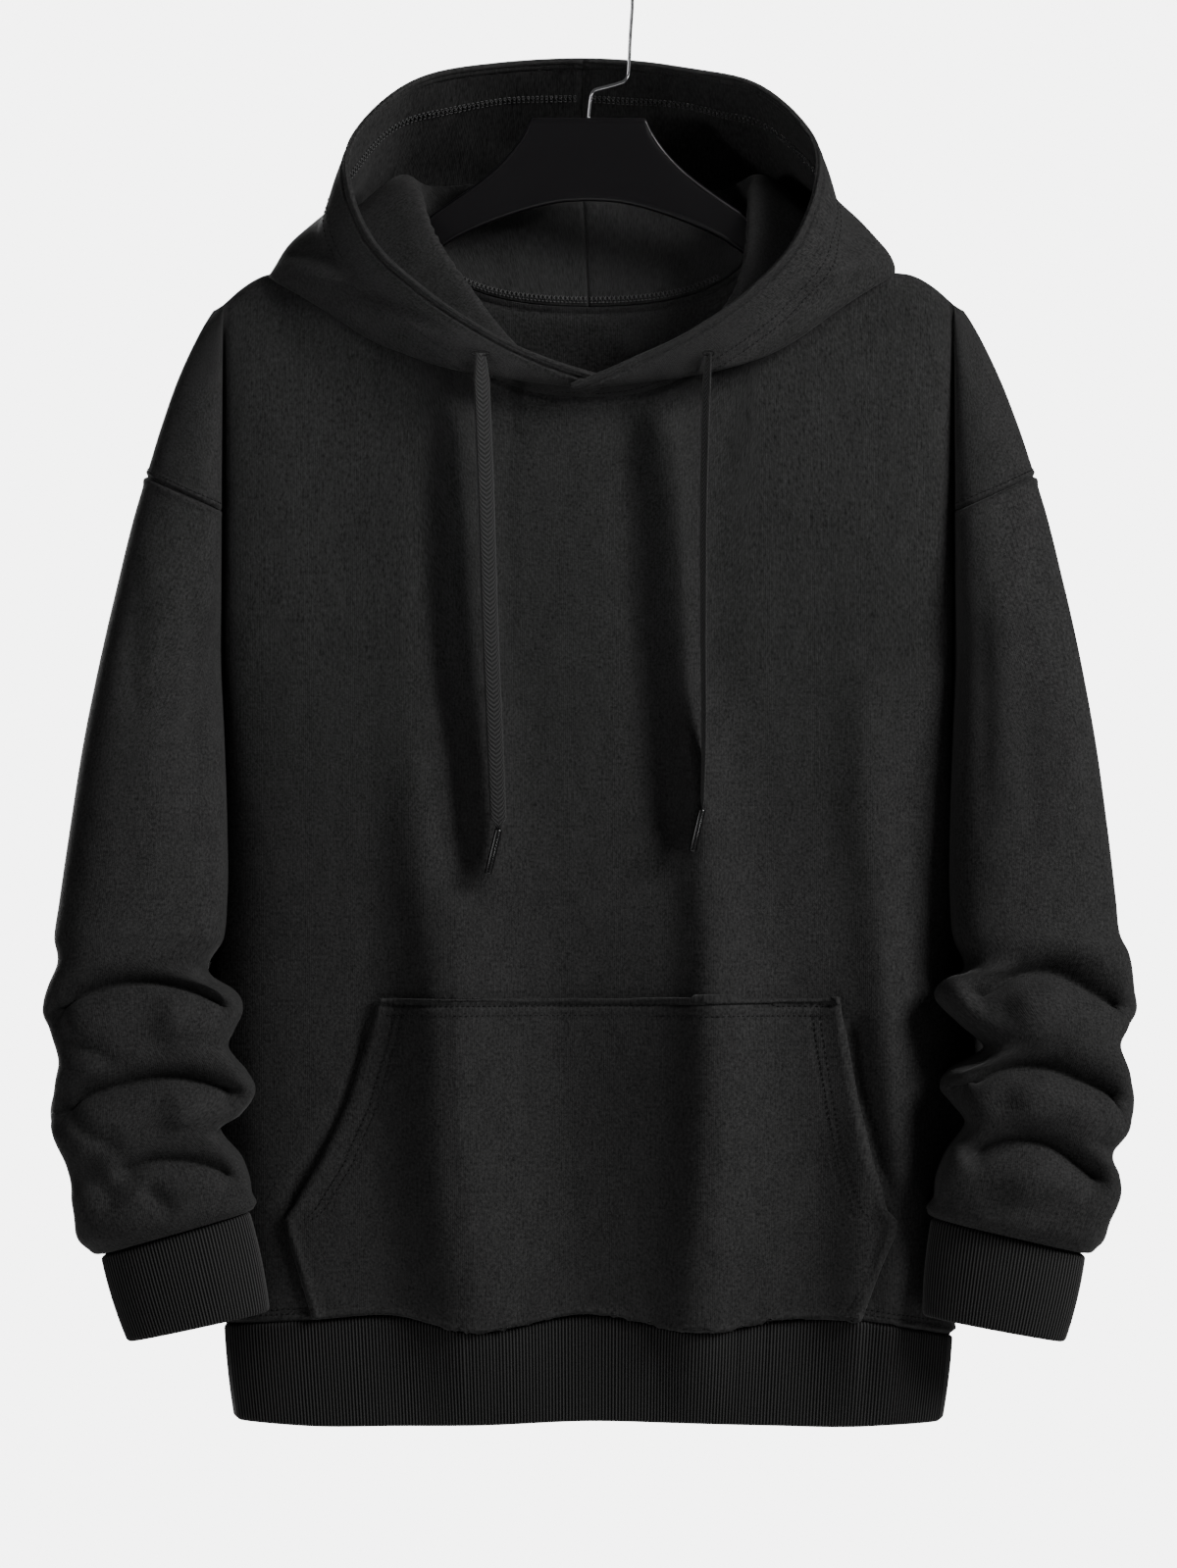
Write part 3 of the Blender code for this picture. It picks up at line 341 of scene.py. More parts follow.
# Where the neckline's turn, in degrees, goes with the columns of each panel.
NECK_TURN = {
    True: [
        (0, 0), (19, 8), (38, 18.5), (57, 31), (74, 46), (88, 62), (98, 84), (104, 90),
    ],
    False: [
        (0, 0), (38, 17.5), (72, 40), (96, 84), (104, 90),
    ],
}
# Soft grooves (and ridges, below nought): a line of x and z, its reach to the left and right of
# the way that the line runs, its depth, and the share of its length in which it dies out.
GROOVES = {
    True: [
        ([(-103, -440), (-103, -500), (-100, -560), (-92, -610), (-90, -668), (-90, -716),
          (-86, -776), (-77, -824), (-74, -930)], 34, 19, -6.5, 0.25),
        ([(-103, -440), (-100, -560), (-90, -668), (-86, -776), (-74, -930)], 90, 20, -4.5, 0.3),
        ([(-96, -262), (-95, -300), (-93, -356), (-89, -428), (-81, -500), (-76, -590)],
         9, 14, 7.5, 0.12),
        ([(-78, -262), (-77, -300), (-74, -356), (-70, -428), (-63, -500), (-58, -590)],
         16, 11, -6.5, 0.15),
        ([(24, -270), (28, -320), (32, -356), (33, -392), (35, -428), (40, -464), (45, -510),
          (52, -560)], 9, 15, 7.5, 0.12),
        ([(40, -270), (46, -320), (50, -356), (51, -392), (53, -428), (57, -464), (61, -510),
          (68, -560)], 16, 9, -6.5, 0.12),
        ([(66, -440), (68, -500), (71, -572), (73, -608), (73, -668), (72, -716), (68, -776),
          (64, -824), (62, -930)], 24, 15, -9.5, 0.15),
        ([(68, -480), (73, -608), (73, -668), (72, -716), (66, -800), (62, -930)],
         30, 60, -4, 0.45),
        ([(168, -420), (170, -464), (171, -536), (177, -572), (180, -608), (184, -668), (188, -716),
          (188, -800), (184, -930)], 18, 17, -8, 0.2),
        ([(168, -560), (176, -620), (182, -700), (182, -930)], 14, 42, -5, 0.25),
        ([(160, -690), (163, -720), (166, -760), (164, -800), (160, -930)], 8, 16, -6, 0.2),
        ([(-230, -480), (-230, -620), (-228, -740), (-220, -930)], 18, 20, 6, 0.2),
        ([(230, -480), (230, -620), (230, -740), (224, -930)], 16, 18, 1.5, 0.2),
        ([(159, -650), (163, -684), (169, -715), (176, -742), (187, -770)], 8, 4, 6, 0.12),
        ([(-133, -650), (-140, -684), (-151, -715), (-167, -742), (-186, -770)], 4, 6, 3, 0.12),
        ([(-60, -266), (-96, -256), (-130, -238), (-160, -216), (-188, -204)], 26, 34, -11, 0.3),
        ([(128, -330), (134, -420), (140, -520)], 26, 26, 2, 0.4),
        ([(-160, -300), (-150, -400), (-146, -500)], 26, 26, 1.8, 0.4),
    ],
    False: [
        ([(-150, -290), (-135, -480), (-110, -720)], 28, 28, 6, 0.3),
        ([(-30, -400), (-34, -640), (-40, -850)], 30, 30, 5, 0.3),
        ([(92, -320), (82, -560), (72, -820)], 28, 28, 6, 0.3),
        ([(168, -470), (160, -660), (150, -850)], 24, 24, 5, 0.3),
        ([(-180, -420), (-186, -600), (-176, -800)], 18, 18, 4, 0.3),
        ([(-96, -600), (-90, -720), (-92, -850)], 16, 16, 3.5, 0.3),
        ([(20, -260), (24, -400), (18, -560)], 22, 26, 2.5, 0.4),
        ([(118, -560), (112, -700), (116, -850)], 16, 16, 3.5, 0.3),
    ],
}

# Long flanks that rise to a crest, written the same way, with the crest's softness.
FLANKS = {
    True: [
        ([(74, -540), (77, -668), (78, -740), (73, -800), (70, -900)], 120, 104, -25, 0.4, 11),
        ([(178, -540), (186, -668), (192, -740), (192, -820), (188, -900)], 60, 70, -17, 0.35, 9),
        ([(-84, -540), (-82, -700), (-74, -800), (-70, -900)], 70, 52, -14, 0.35, 10),
    ],
    False: [
        ([(-60, -520), (-62, -700), (-66, -900)], 60, 34, -9, 0.35, 8),
        ([(128, -560), (130, -720), (126, -900)], 34, 60, -9, 0.35, 8),
    ],
}

fleece = Finish("brushed_fleece", (0.011, 0.011, 0.011), 0.9, Specular_IOR_Level=0.04,
                Sheen_Weight=0.02, Sheen_Roughness=0.4)
u, v = fleece.cloth()
grain = fleece.noise(u, v, 1.5, 1.9)
streak = fleece.noise(u, v, 1.2, 7.0)
mottle = fleece.noise(u, v, 10.0, 22.0)
wale = ((u / WALE_PITCH) * FULL_TURN).sine()
tone = (grain - 0.5) * 2.1 + (streak - 0.5) * 0.9 + (mottle - 0.5) * 0.5 + wale * 0.06 + 0.5
fleece.drive("Base Color", fleece.blend(tone.clipped(), (0.0042, 0.0042, 0.0042, 1),
                                        (0.0158, 0.0157, 0.0156, 1)))
fleece.relief(grain + wale * 0.12, 0.00035, 0.7)


def read(rows, at):
    """Every column of a table at the given first-column values, along smooth curves."""
    table = np.array(sorted(rows), dtype=float)
    keys, values = table[:, 0], table[:, 1:]
    at = np.clip(at, keys[0], keys[-1])
    spot = np.clip(np.searchsorted(keys, at, side="right") - 1, 0, len(keys) - 2)
    slopes = np.gradient(values, keys, axis=0)
    step = (keys[spot + 1] - keys[spot])[..., None]
    t = (at - keys[spot])[..., None] / step
    return np.moveaxis(between(t, spot, values, slopes, step), -1, 0)


def ease(value):
    value = np.clip(value, 0.0, 1.0)
    return value * value * (3 - 2 * value)


def beside(x, z, line):
    """Signed distance from a line of x and z, and how far along it each place is."""
    fine = along(line, 28)
    far = lengths(fine)
    heading = unit(np.gradient(fine, axis=0))
    near = np.argmin((x[..., None] - fine[:, 0]) ** 2 + (z[..., None] - fine[:, 1]) ** 2, -1)
    off = heading[near, 0] * (z - fine[near, 1]) - heading[near, 1] * (x - fine[near, 0])
    return off, far[near] / far[-1]


def bell(value, centre, reach):
    return np.exp(-((value - centre) / reach) ** 2)


def groove(x, z, line, left, right, depth, fade):
    """How deep one soft groove is at each place."""
    off, on = beside(x, z, line)
    reach = np.where(off > 0, left, right)
    return depth * bell(off, 0.0, reach) * ease(on / fade) * ease((1 - on) / fade)


def tuck(x, z, line, left, right, depth, fade, soft):
    """The same for a sharp crease, where the cloth rolls under from both sides."""
    off, on = beside(x, z, line)
    away = 1 - np.clip(np.hypot(off, soft) / np.where(off > 0, left, right), 0.0, 1.0)
    rolled = np.log(np.cos(TUCK_STEEPNESS * away)) / math.log(math.cos(TUCK_STEEPNESS))
    return depth * rolled * ease(on / fade) * ease((1 - on) / fade)


def flank(x, z, line, left, right, depth, fade, soft):
    """The same for a long slope up to a soft crest."""
    off, on = beside(x, z, line)
    away = 1 - np.clip(np.hypot(off, soft) / np.where(off > 0, left, right), 0.0, 1.0)
    return depth * away**1.5 * ease(on / fade) * ease((1 - on) / fade)


def seam_roll(away, height=1.0):
    """A cut edge turned into its seam: a dip on the seam line and a soft roll beside it."""
    return height * (bell(away, 2.7, 1.9) - 1.7 * bell(away, 0.0, 1.0))


def raised(points, height, closed=False):
    """The points moved out along the surface's normals by so many millimetres."""
    wide = np.concatenate([points[:, -2:-1], points, points[:, 1:2]], 1) if closed else points
    normal = unit(np.cross(np.gradient(wide, axis=1), np.gradient(wide, axis=0)))
    normal = normal[:, 1:-1] if closed else normal
    return points + normal * height[..., None]


def spaced(start, end, step, fine_start=False):
    """Values from one to the other, with finer steps after the first where a seam is."""
    offsets = [0.0, 0.6, 1.2, 1.8, 2.4, 3.2, 4.2, 5.6, 7.5] if fine_start else [0.0]
    way = 1.0 if end > start else -1.0
    first = start + way * offsets[-1]
    rest = np.linspace(first, end, max(2, round(abs(end - first) / step) + 1))
    return np.concatenate([start + way * np.array(offsets[:-1]), rest])


def shoulder_z(x):
    x = np.abs(x)
    return NECK_POINT_Z - SHOULDER_SLOPE * (x - NECK_HALF_WIDTH) + read(SHOULDER_RISE, x)[0]


def rounding(below):
    share = np.clip(below / SHOULDER_CAP, 0.0, 1.0)
    return np.sqrt(1 - (1 - share) ** 2)


def crease_gap(z):
    return SHOULDER_CAP * ease((z - UNDERARM_Z) / 45.0) * rounding(shoulder_z(CREASE_X) - z)


def body_surface(x, z, front):
    """Points of the hanging body at x and z, with its grooves."""
    half_width, front_depth, back_depth, side_y = read(BODY, z)
    depth, facing = (front_depth, -1.0) if front else (back_depth, 1.0)
    below = shoulder_z(x) - z
    share = np.clip(np.abs(x) / half_width, 0.0, 1.0)
    fullness = (1 - share**SIDE_ROUNDNESS) ** (1 / SIDE_ROUNDNESS)
    middle = (SHOULDER_CAP * rounding(below)
              + depth * (1 - np.exp(-np.maximum(below, 0.0) / FILL_LENGTH)))
    in_hem = ease((HEM_LEVEL + 6.0 - z) / 44.0)
    middle = (middle - sum(groove(x, z, *row) for row in GROOVES[front]) * (1 - 0.8 * in_hem)
              - sum(flank(x, z, *row) for row in FLANKS[front]) * (1 - in_hem))
    y = (side_y + facing * crease_gap(z)) * (1 - fullness) + facing * middle * fullness
    return np.stack([x, y, z], -1)


def hem_lift(x, z, front):
    """How far the hem seam's wave moves a place at level z."""
    if front:
        wave = read(HEM_EDGE, x)[0] - HEM_LEVEL
    else:
        wave = -BACK_HEM_TILT * (x + 222.0) / 444.0
    return wave * ease((HEM_WAVE_TOP_Z - z) / (HEM_WAVE_TOP_Z - HEM_LEVEL))


def neck_point(turn, front):
    angle = np.radians(turn)
    x = NECK_HALF_WIDTH * np.sin(angle) ** NECK_POWER
    z = NECK_POINT_Z - NECK_DROP[front] * np.maximum(np.cos(angle), 0.0) ** NECK_POWER
    return x, z


FAR = 99.0                   # stands for any distance too large to matter
TOP_STEPS = np.array([12.0, 9.0, 6.5, 4.5, 3.0, 1.8, 0.8, 0.2, 0.0])
EDGE_TOP_Z = float(shoulder_z(CREASE_X))
LEVELS = np.concatenate([spaced(HEM_LEVEL, UNDERARM_Z, 3.2, True)[:-1],
                         spaced(UNDERARM_Z, SLEEVE_SEAM_Z, 3.2)[:-1],
                         spaced(SLEEVE_SEAM_Z, EDGE_TOP_Z - 12.0, 3.2, True)[:-1]])
SEAM_ROW = int(np.argmin(np.abs(LEVELS - SLEEVE_SEAM_Z)))


def body_cloth(front):
    """Rows by columns of a panel's body part, from the hem seam up, and its flat measures."""
    columns, turns = zip(*NECK_TURN[front])
    near, outer = np.linspace(0.0, NECK_HALF_WIDTH, 37), np.linspace(NECK_HALF_WIDTH, CREASE_X, 42)
    neck_x, neck_z = neck_point(np.interp(near, columns, turns), front)
    level_x = np.concatenate([near, outer[1:]])
    top_x = np.concatenate([neck_x, outer[1:]])
    top_z = np.concatenate([neck_z, shoulder_z(outer[1:])])
    level_x, top_x, top_z = (np.concatenate([way * a[:0:-1], a]) for way, a in
                             ((-1, level_x), (-1, top_x), (1, top_z)))
    rows = LEVELS[:, None]
    rise = np.maximum(rows - UNDERARM_Z, 0.0) / (EDGE_TOP_Z - 12.0 - UNDERARM_Z)
    z = np.where(rise > 0, UNDERARM_Z + rise * (top_z - 12.0 - UNDERARM_Z), rows)
    edge = np.clip((np.abs(level_x) - 212.0) / (CREASE_X - 212.0), 0.0, 1.0)
    x = level_x + np.sign(level_x) * edge * (read(BODY, z)[0] - CREASE_X)
    x = x + (top_x - level_x) * rise**2
    z = z + hem_lift(x, z, front)
    x = np.concatenate([x, np.repeat(top_x[None], len(TOP_STEPS), 0)])
    z = np.concatenate([z, top_z - TOP_STEPS[:, None]])
    points = body_surface(x, z, front)
    points[-1, np.abs(top_x) >= NECK_HALF_WIDTH, 1] = 0.0
    if not front:
        points = points[:, ::-1]
    across = down(lengths(points[len(LEVELS) // 2]), points)
    away = np.concatenate([LEVELS - HEM_LEVEL, np.full(len(TOP_STEPS), FAR)])[:, None]
    below = np.concatenate([np.full(len(LEVELS), FAR), TOP_STEPS])[:, None]
    by_neck = ease((NECK_HALF_WIDTH - 6.0 - np.abs(top_x)) / 12.0)
    by_neck = (1.3 * bell(below, 4.5, 2.2) * by_neck)[:, ::1 if front else -1]
    points = raised(points, seam_roll(away) + by_neck)
    return points, across, over(lengths(points[:, points.shape[1] // 2]), points)


def seam_station(turn):
    return -(SLEEVE_SEAM_Z + SLEEVE_SEAM_RISE * (1 - np.cos(turn)) / 2)


# The arms' flattened tubes, station by station: both edges of the outline, the depth, and how far
# to the front they hang. Below the elbow tucks and rolls take turns.
ARM_BACK_SHARE, ARM_LEAN, ARM_ARCH = 0.8, 17.0, 9.0
UPPER_ARM = [(station, inner, -station, outer, -station, depth, forward) for (
    station, inner, outer, depth, forward) in (
        (217, 224.5, 229, 2, 0), (226, 224.5, 235, 5, 0), (240, 224.5, 242.5, 9, 0),
        (260, 224.5, 251.5, 15, -1), (290, 224.5, 262, 22, -3), (320, 224.5, 271, 28, -4.5),
        (344, 224.5, 278, 32, -6), (392, 224.5, 289.5, 40, -10), (440, 224.5, 300, 46, -14),
        (488, 222.5, 309, 50, -21), (536, 221, 316, 50, -29), (584, 221, 322.5, 49, -37))]
# Station, both edges' x and z, depth, forward.
ELBOW = (606.0, 223.0, -606.0, 325.0, -605.0, 48.0, -41.0)
LEFT_FOREARM = [
    (627, 231, -629, 323.5, -624, 47, -42.5), (636, 217, -637, 329, -635, 47, -43),
    (649, 210.6, -648, 333, -650, 46.5, -44), (663, 216, -662, 327, -664, 45.5, -45),
    (676, 220, -673, 322, -680, 45, -46), (690, 208.5, -687, 324.5, -694, 44.5, -47),
    (706, 203.2, -700, 328, -712, 43.5, -48), (720, 212, -713, 325, -727, 43, -48),
    (734, 225.6, -724, 317.5, -743, 42, -49), (747, 212, -739, 314.5, -755, 41, -49),
    (761, 206, -754, 313.6, -768, 39, -49), (774, 206.5, -764, 309, -784, 35, -48),
    (785, 207.5, -771.5, 296.5, -798.6, 25, -47), (845, 195, -833, 280, -851.5, 21, -46),
]
RIGHT_FOREARM = [
    (621, 229, -625, 330, -617, 47, -42.5), (632, 215.4, -632, 332.5, -632, 47, -43),
    (646, 211.5, -643, 334.8, -649, 46.5, -44), (659, 226, -658, 329, -660, 45.5, -45),
    (672, 241, -673, 323.4, -671, 45, -46), (687, 219, -686, 329.4, -688, 44.5, -47),
    (700, 213.6, -696, 332.2, -704, 43.5, -48), (714, 221, -706, 328.5, -722, 43, -48),
    (727, 228.9, -718, 318.5, -736, 42, -49), (742, 218, -735, 322, -749, 41, -49),
    (756, 211.5, -750, 322.8, -762, 39, -49), (771, 210.4, -764, 315, -779, 35, -48),
    (786, 209.4, -775, 301.6, -797.4, 25, -47), (845, 204, -835, 289, -851, 21, -46),
]
# How much wider the right arm is, and how much further back it hangs, by station.
RIGHT_CHANGE = [
    (217, 0, 0), (260, 0.6, 0), (300, 2, 0), (440, 2.2, 4), (540, 1.5, 16), (600, 0, 16),
    (650, 0, 4), (700, 0, -5), (760, 0, -8), (845, 0, -8),
]
CUFF_STATION, CUFF_FOOT = {-1: 785.0, 1: 786.0}, 845.0
CAP_END, CAP_LENGTH = 488.0, 144.0      # where the cap's rows end, and how long they are


def arm_surface(side, turn, station, front):
    """Points of an arm; turn goes from 0 at the crease to pi on the outer arm."""
    rows = [*UPPER_ARM, ELBOW, *(LEFT_FOREARM if side < 0 else RIGHT_FOREARM)]
    inner_x, inner_z, outer_x, outer_z, depth, forward = read(rows, station)
    share = (1 - np.cos(turn)) / 2
    if side > 0:
        wider, back = read(RIGHT_CHANGE, station)
        outer_x, forward = outer_x + wider, forward + back
    x = inner_x + (outer_x - inner_x) * share
    z = inner_z + (outer_z - inner_z) * share
    facing = -1.0 if front else ARM_BACK_SHARE
    gap = crease_gap(z) * (1 - share) * (1.0 if front else 1 / ARM_BACK_SHARE)
    bulge = np.maximum(np.sin(turn), 0.0)
    flatness = 0.47 - 0.14 * ease((station - 590.0) / 40.0) + 0.5 * ease((station - 765.0) / 20.0)
    full = depth * bulge**flatness * rounding(shoulder_z(x) - z)
    lean = ARM_LEAN * (share - 0.5) * bulge * ease((station - 300) / 120) * ease(
        (800 - station) / 90)
    z = z + ARM_ARCH * bulge * ease((station - 575) / 50) * ease(
        (CUFF_STATION[side] - station) / 45)
    return np.stack([side * x, forward + facing * (gap + full) + side * lean, z], -1)


def cap_cloth(side, front):
    """The dropped shoulder, rows up from the sleeve seam, columns from the crease out."""
    rows = np.concatenate([LEVELS[SEAM_ROW:], EDGE_TOP_Z - TOP_STEPS])[:, None]
    rise = (rows - SLEEVE_SEAM_Z) / (EDGE_TOP_Z - SLEEVE_SEAM_Z)
    turn = np.linspace(0.0, np.pi, 27)
    share = (1 - np.cos(turn)) / 2
    corner = CREASE_X + (UPPER_ARM[0][3] - CREASE_X) * share
    station = seam_station(turn) * (1 - rise) - shoulder_z(corner) * rise
    points = arm_surface(side, np.broadcast_to(turn, station.shape), station, front)
    points[-1] = np.stack([side * corner, 0 * corner, shoulder_z(corner)], -1)
    points[:, 0] = body_surface(np.full(len(rows), side * CREASE_X), rows[:, 0], front)
    points[-1, 0, 1] = 0.0
    if (side < 0) == front:
        points = points[:, ::-1]
    edge = np.clip(np.minimum(turn / 0.5, (np.pi - turn) / 0.25), 0.0, 1.0)
    edge = edge[::-1] if (side < 0) == front else edge
    points = raised(points, seam_roll(np.clip(rows - SLEEVE_SEAM_Z, 0.0, FAR)) * edge)
    across = down(lengths(points[0]), points) + (226.0 if side > 0 else -90.0)
    return points, across, over(rows[:, 0], points)


def joined(first, *others):
    """Welds other parts of the same cloth to the first."""
    for other in others:
        mesh = bpy.data.meshes.new("part")
        other.to_mesh(mesh)
        other.free()
        first.from_mesh(mesh)
        bpy.data.meshes.remove(mesh)
    bmesh.ops.remove_doubles(first, verts=first.verts, dist=0.00005)
    return first


def walled(made, thickness):
    wall = made.modifiers.new("wall", "SOLIDIFY")
    wall.thickness, wall.offset = thickness * MM, -1.0
    return made


for front, name in ((True, "front"), (False, "back")):
    bm = joined(*(cloth_grid(*part) for part in (body_cloth(front), cap_cloth(-1, front),
                                                 cap_cloth(1, front))))
    made = walled(piece(f"{name}_panel", bm, fleece, "fleece", name), FLEECE)

# ------------------------------------------------------------------ sleeves
# Two wide fleece tubes, sewn to the dropped shoulders and pushed up a little, so that they lie
# in rolls above the cuffs. The creases run across the front and, a little lower, the back.
SLEEVE_TUCKS = {
    -1: [
        ([(-337, -660), (-328, -651), (-315, -641), (-293, -634), (-274, -631), (-255, -631),
          (-233, -637), (-214, -646), (-206, -651)], 20, 24, 19, 0.08, 1.2),
        ([(-330, -662), (-309, -671), (-297, -675), (-290, -681), (-288, -691)], 15, 11, 6, 0.3, 3),
        ([(-336, -717), (-328, -710), (-307, -700), (-287, -695), (-271, -691), (-255, -689),
          (-238, -690), (-222, -695), (-203, -706)], 20, 24, 19, 0.08, 1.2),
        ([(-326, -706), (-309, -720), (-298, -727), (-287, -732), (-283, -743)], 15, 11, 6, 0.3, 3),
        ([(-290, -750), (-277, -745), (-263, -740), (-249, -739), (-236, -740), (-222, -744),
          (-203, -751)], 17, 20, 14, 0.15, 1.2),
        ([(-258, -725), (-244, -720), (-232, -712), (-221, -703)], 9, 7, 4, 0.3, 2),
    ],
    1: [
        ([(226, -642), (244, -631), (256, -624), (270, -622), (284, -622), (297, -627), (314, -636),
          (334, -648), (342, -655)], 21, 25, 20, 0.08, 1.2),
        ([(208, -702), (232, -688), (248, -682), (265, -681), (281, -682), (297, -687), (316, -695),
          (336, -707), (344, -714)], 21, 25, 20, 0.08, 1.2),
        ([(222, -738), (237, -732), (253, -729), (267, -729), (281, -731), (292, -737), (304, -746),
          (318, -757)], 20, 22, 18, 0.12, 1.2),
        ([(303, -728), (314, -732), (330, -738)], 8, 6, 4, 0.3, 2),
    ],
}
SLEEVE_GROOVES = {
    -1: [
        ([(-248, -628), (-250, -650), (-254, -676)], 24, 11, -7.5, 0.4),
        ([(-246, -688), (-246, -708), (-249, -730)], 20, 10, -7, 0.4),
        ([(-314, -742), (-298, -753), (-280, -768)], 12, 9, 5, 0.3),
        ([(-271, -752), (-262, -762), (-250, -774)], 7, 5, 4, 0.35),
        ([(-272, -360), (-277, -430), (-276, -500)], 9, 9, 2.4, 0.4),
        ([(-236, -360), (-238, -450), (-240, -560)], 8, 7, 2.2, 0.35),
        ([(-256, -440), (-262, -530), (-262, -600)], 12, 12, -1.8, 0.4),
    ],
    1: [
        ([(262, -630), (268, -646), (276, -668)], 22, 13, -5.5, 0.35),
        ([(247, -636), (251, -647), (256, -660)], 9, 9, 2.4, 0.4),
        ([(246, -664), (262, -671), (282, -668), (300, -656)], 5, 7, 2.6, 0.35),
        ([(262, -686), (268, -700), (276, -718)], 22, 13, -5.5, 0.35),
        ([(247, -692), (251, -703), (255, -714)], 9, 9, 2.4, 0.4),
        ([(250, -716), (268, -722), (288, -717), (300, -708)], 5, 7, 2.6, 0.35),
        ([(257, -738), (262, -750), (268, -768)], 24, 12, -4.5, 0.35),
        ([(236, -350), (240, -450), (240, -560)], 8, 8, 2.6, 0.35),
        ([(282, -360), (292, -450), (296, -560)], 12, 12, -1.8, 0.4),
        ([(262, -420), (268, -510), (270, -590)], 12, 12, 2, 0.4),
    ],
}
HALF_COLUMNS, ARMHOLE_COLUMNS = 54, 24      # round half a sleeve, and of these in the armhole
FINE_FROM, FINE_TO = 596.0, 700.0           # the rows are close together where the rolls start
BACK_DROP, BACK_SHARE = 7.0, 0.8            # the creases behind lie lower and are less deep
POUCH = 4.5                                 # how far the cloth swells just above the cuff


def sleeve_cloth(side):
    """Closed rows of the sleeve from its seam down to the cuff, starting at the underarm."""
    k = np.arange(HALF_COLUMNS + 1)
    in_armhole = np.clip(k / ARMHOLE_COLUMNS, 0.0, 1.0)
    start_turn = np.pi * np.clip((k - ARMHOLE_COLUMNS) / (HALF_COLUMNS - ARMHOLE_COLUMNS), 0.0, 1.0)
    start = np.where(k < ARMHOLE_COLUMNS,
                     -(UNDERARM_Z + (SLEEVE_SEAM_Z - UNDERARM_Z) * in_armhole),
                     seam_station(start_turn))
    full_turn = np.pi * k / HALF_COLUMNS
    share = (spaced(0.0, CAP_LENGTH, 3.0, True) / CAP_LENGTH)[:, None]
    stations = np.concatenate([spaced(CAP_END, FINE_FROM, 3.0)[1:],
                               spaced(FINE_FROM, FINE_TO, 1.3)[1:],
                               spaced(CUFF_STATION[side], FINE_TO, 1.3, True)[::-1][1:]])
    halves = []
    for front in (True, False):
        turn = np.concatenate([start_turn + (full_turn - start_turn) * share,
                               down(full_turn, stations)])
        station = np.concatenate([start + (CAP_END - start) * share,
                                  np.repeat(stations[:, None], len(k), 1)])
        points = arm_surface(side, turn, station, front)
        window = np.clip(np.sin(turn) / 0.28, 0.0, 1.0)
        lower = 0.0 if front else BACK_DROP
        dip = sum(bend(points[..., 0], points[..., 2] + lower, *row)
                  for bend, rows in ((groove, SLEEVE_GROOVES), (tuck, SLEEVE_TUCKS))
                  for row in rows[side])
        halves.append((points, -dip * window * (1.0 if front else BACK_SHARE)))
    points = np.concatenate([halves[0][0], halves[1][0][:, -2::-1]], 1)
    height = np.concatenate([halves[0][1], halves[1][1][:, -2::-1]], 1)
    from_seam = np.concatenate([CAP_LENGTH * share[:, 0], CAP_LENGTH + stations - CAP_END])
    to_cuff = np.concatenate([np.full(len(share), FAR), CUFF_STATION[side] - stations])
    on_seam = np.clip((k - ARMHOLE_COLUMNS) / 3.0, 0.0, 1.0)
    on_seam = np.concatenate([on_seam, on_seam[-2::-1]])
    height = (height + seam_roll(from_seam)[:, None] * on_seam
              + seam_roll(to_cuff, 1.2)[:, None] + POUCH * bell(to_cuff, 8.0, 6.0)[:, None])
    if side > 0:
        points, height = points[:, ::-1], height[:, ::-1]
    points = raised(points, height, closed=True)
    across = down(lengths(points[len(share) + 20]), points)
    return points, across, over(-lengths(points[:, HALF_COLUMNS // 2]), points)


for side, hand in ((-1, "left"), (1, "right")):
    bm = cloth_grid(*sleeve_cloth(side), close=True)
    made = walled(piece(f"sleeve_{hand}_cloth", bm, fleece, "fleece", f"sleeve_{hand}"), FLEECE)

# ------------------------------------------------------------------ hem and cuffs
# Doubled bands of rib knit, seamed to the body and sleeves and pulling them in a little. About
# 480 ribs go round the hem and 97 round a cuff.
RIB_PITCH, RIB_HEIGHT, RIB_WALL = 2.07, 0.6, 2.4
HEM_SEAM_X, HEM_FOOT_X, BACK_HEM_FOOT_Z, HEM_POINTS = 222.8, 217.5, -899.0, 150

rib = Finish("rib_knit", (0.007, 0.007, 0.007), 0.9, Specular_IOR_Level=0.04,
             Sheen_Weight=0.02, Sheen_Roughness=0.4)
u, v = rib.cloth()
crest = (u * FULL_TURN).sine() * 0.5 + 0.5
loops = rib.noise(u, v, 0.25, 1.2)
# The valleys between the ribs are painted darker, a painted shade in the grooves; the loops' noise
# adds random tone.
valley_shade_and_loops = crest ** 2.2 + (loops - 0.5) * 0.5
rib.drive("Base Color", rib.blend(valley_shade_and_loops.clipped(), (0.0014, 0.0014, 0.0014, 1),
                                  (0.0205, 0.0204, 0.0203, 1)))
rib.relief(loops, 0.0003, 0.6)


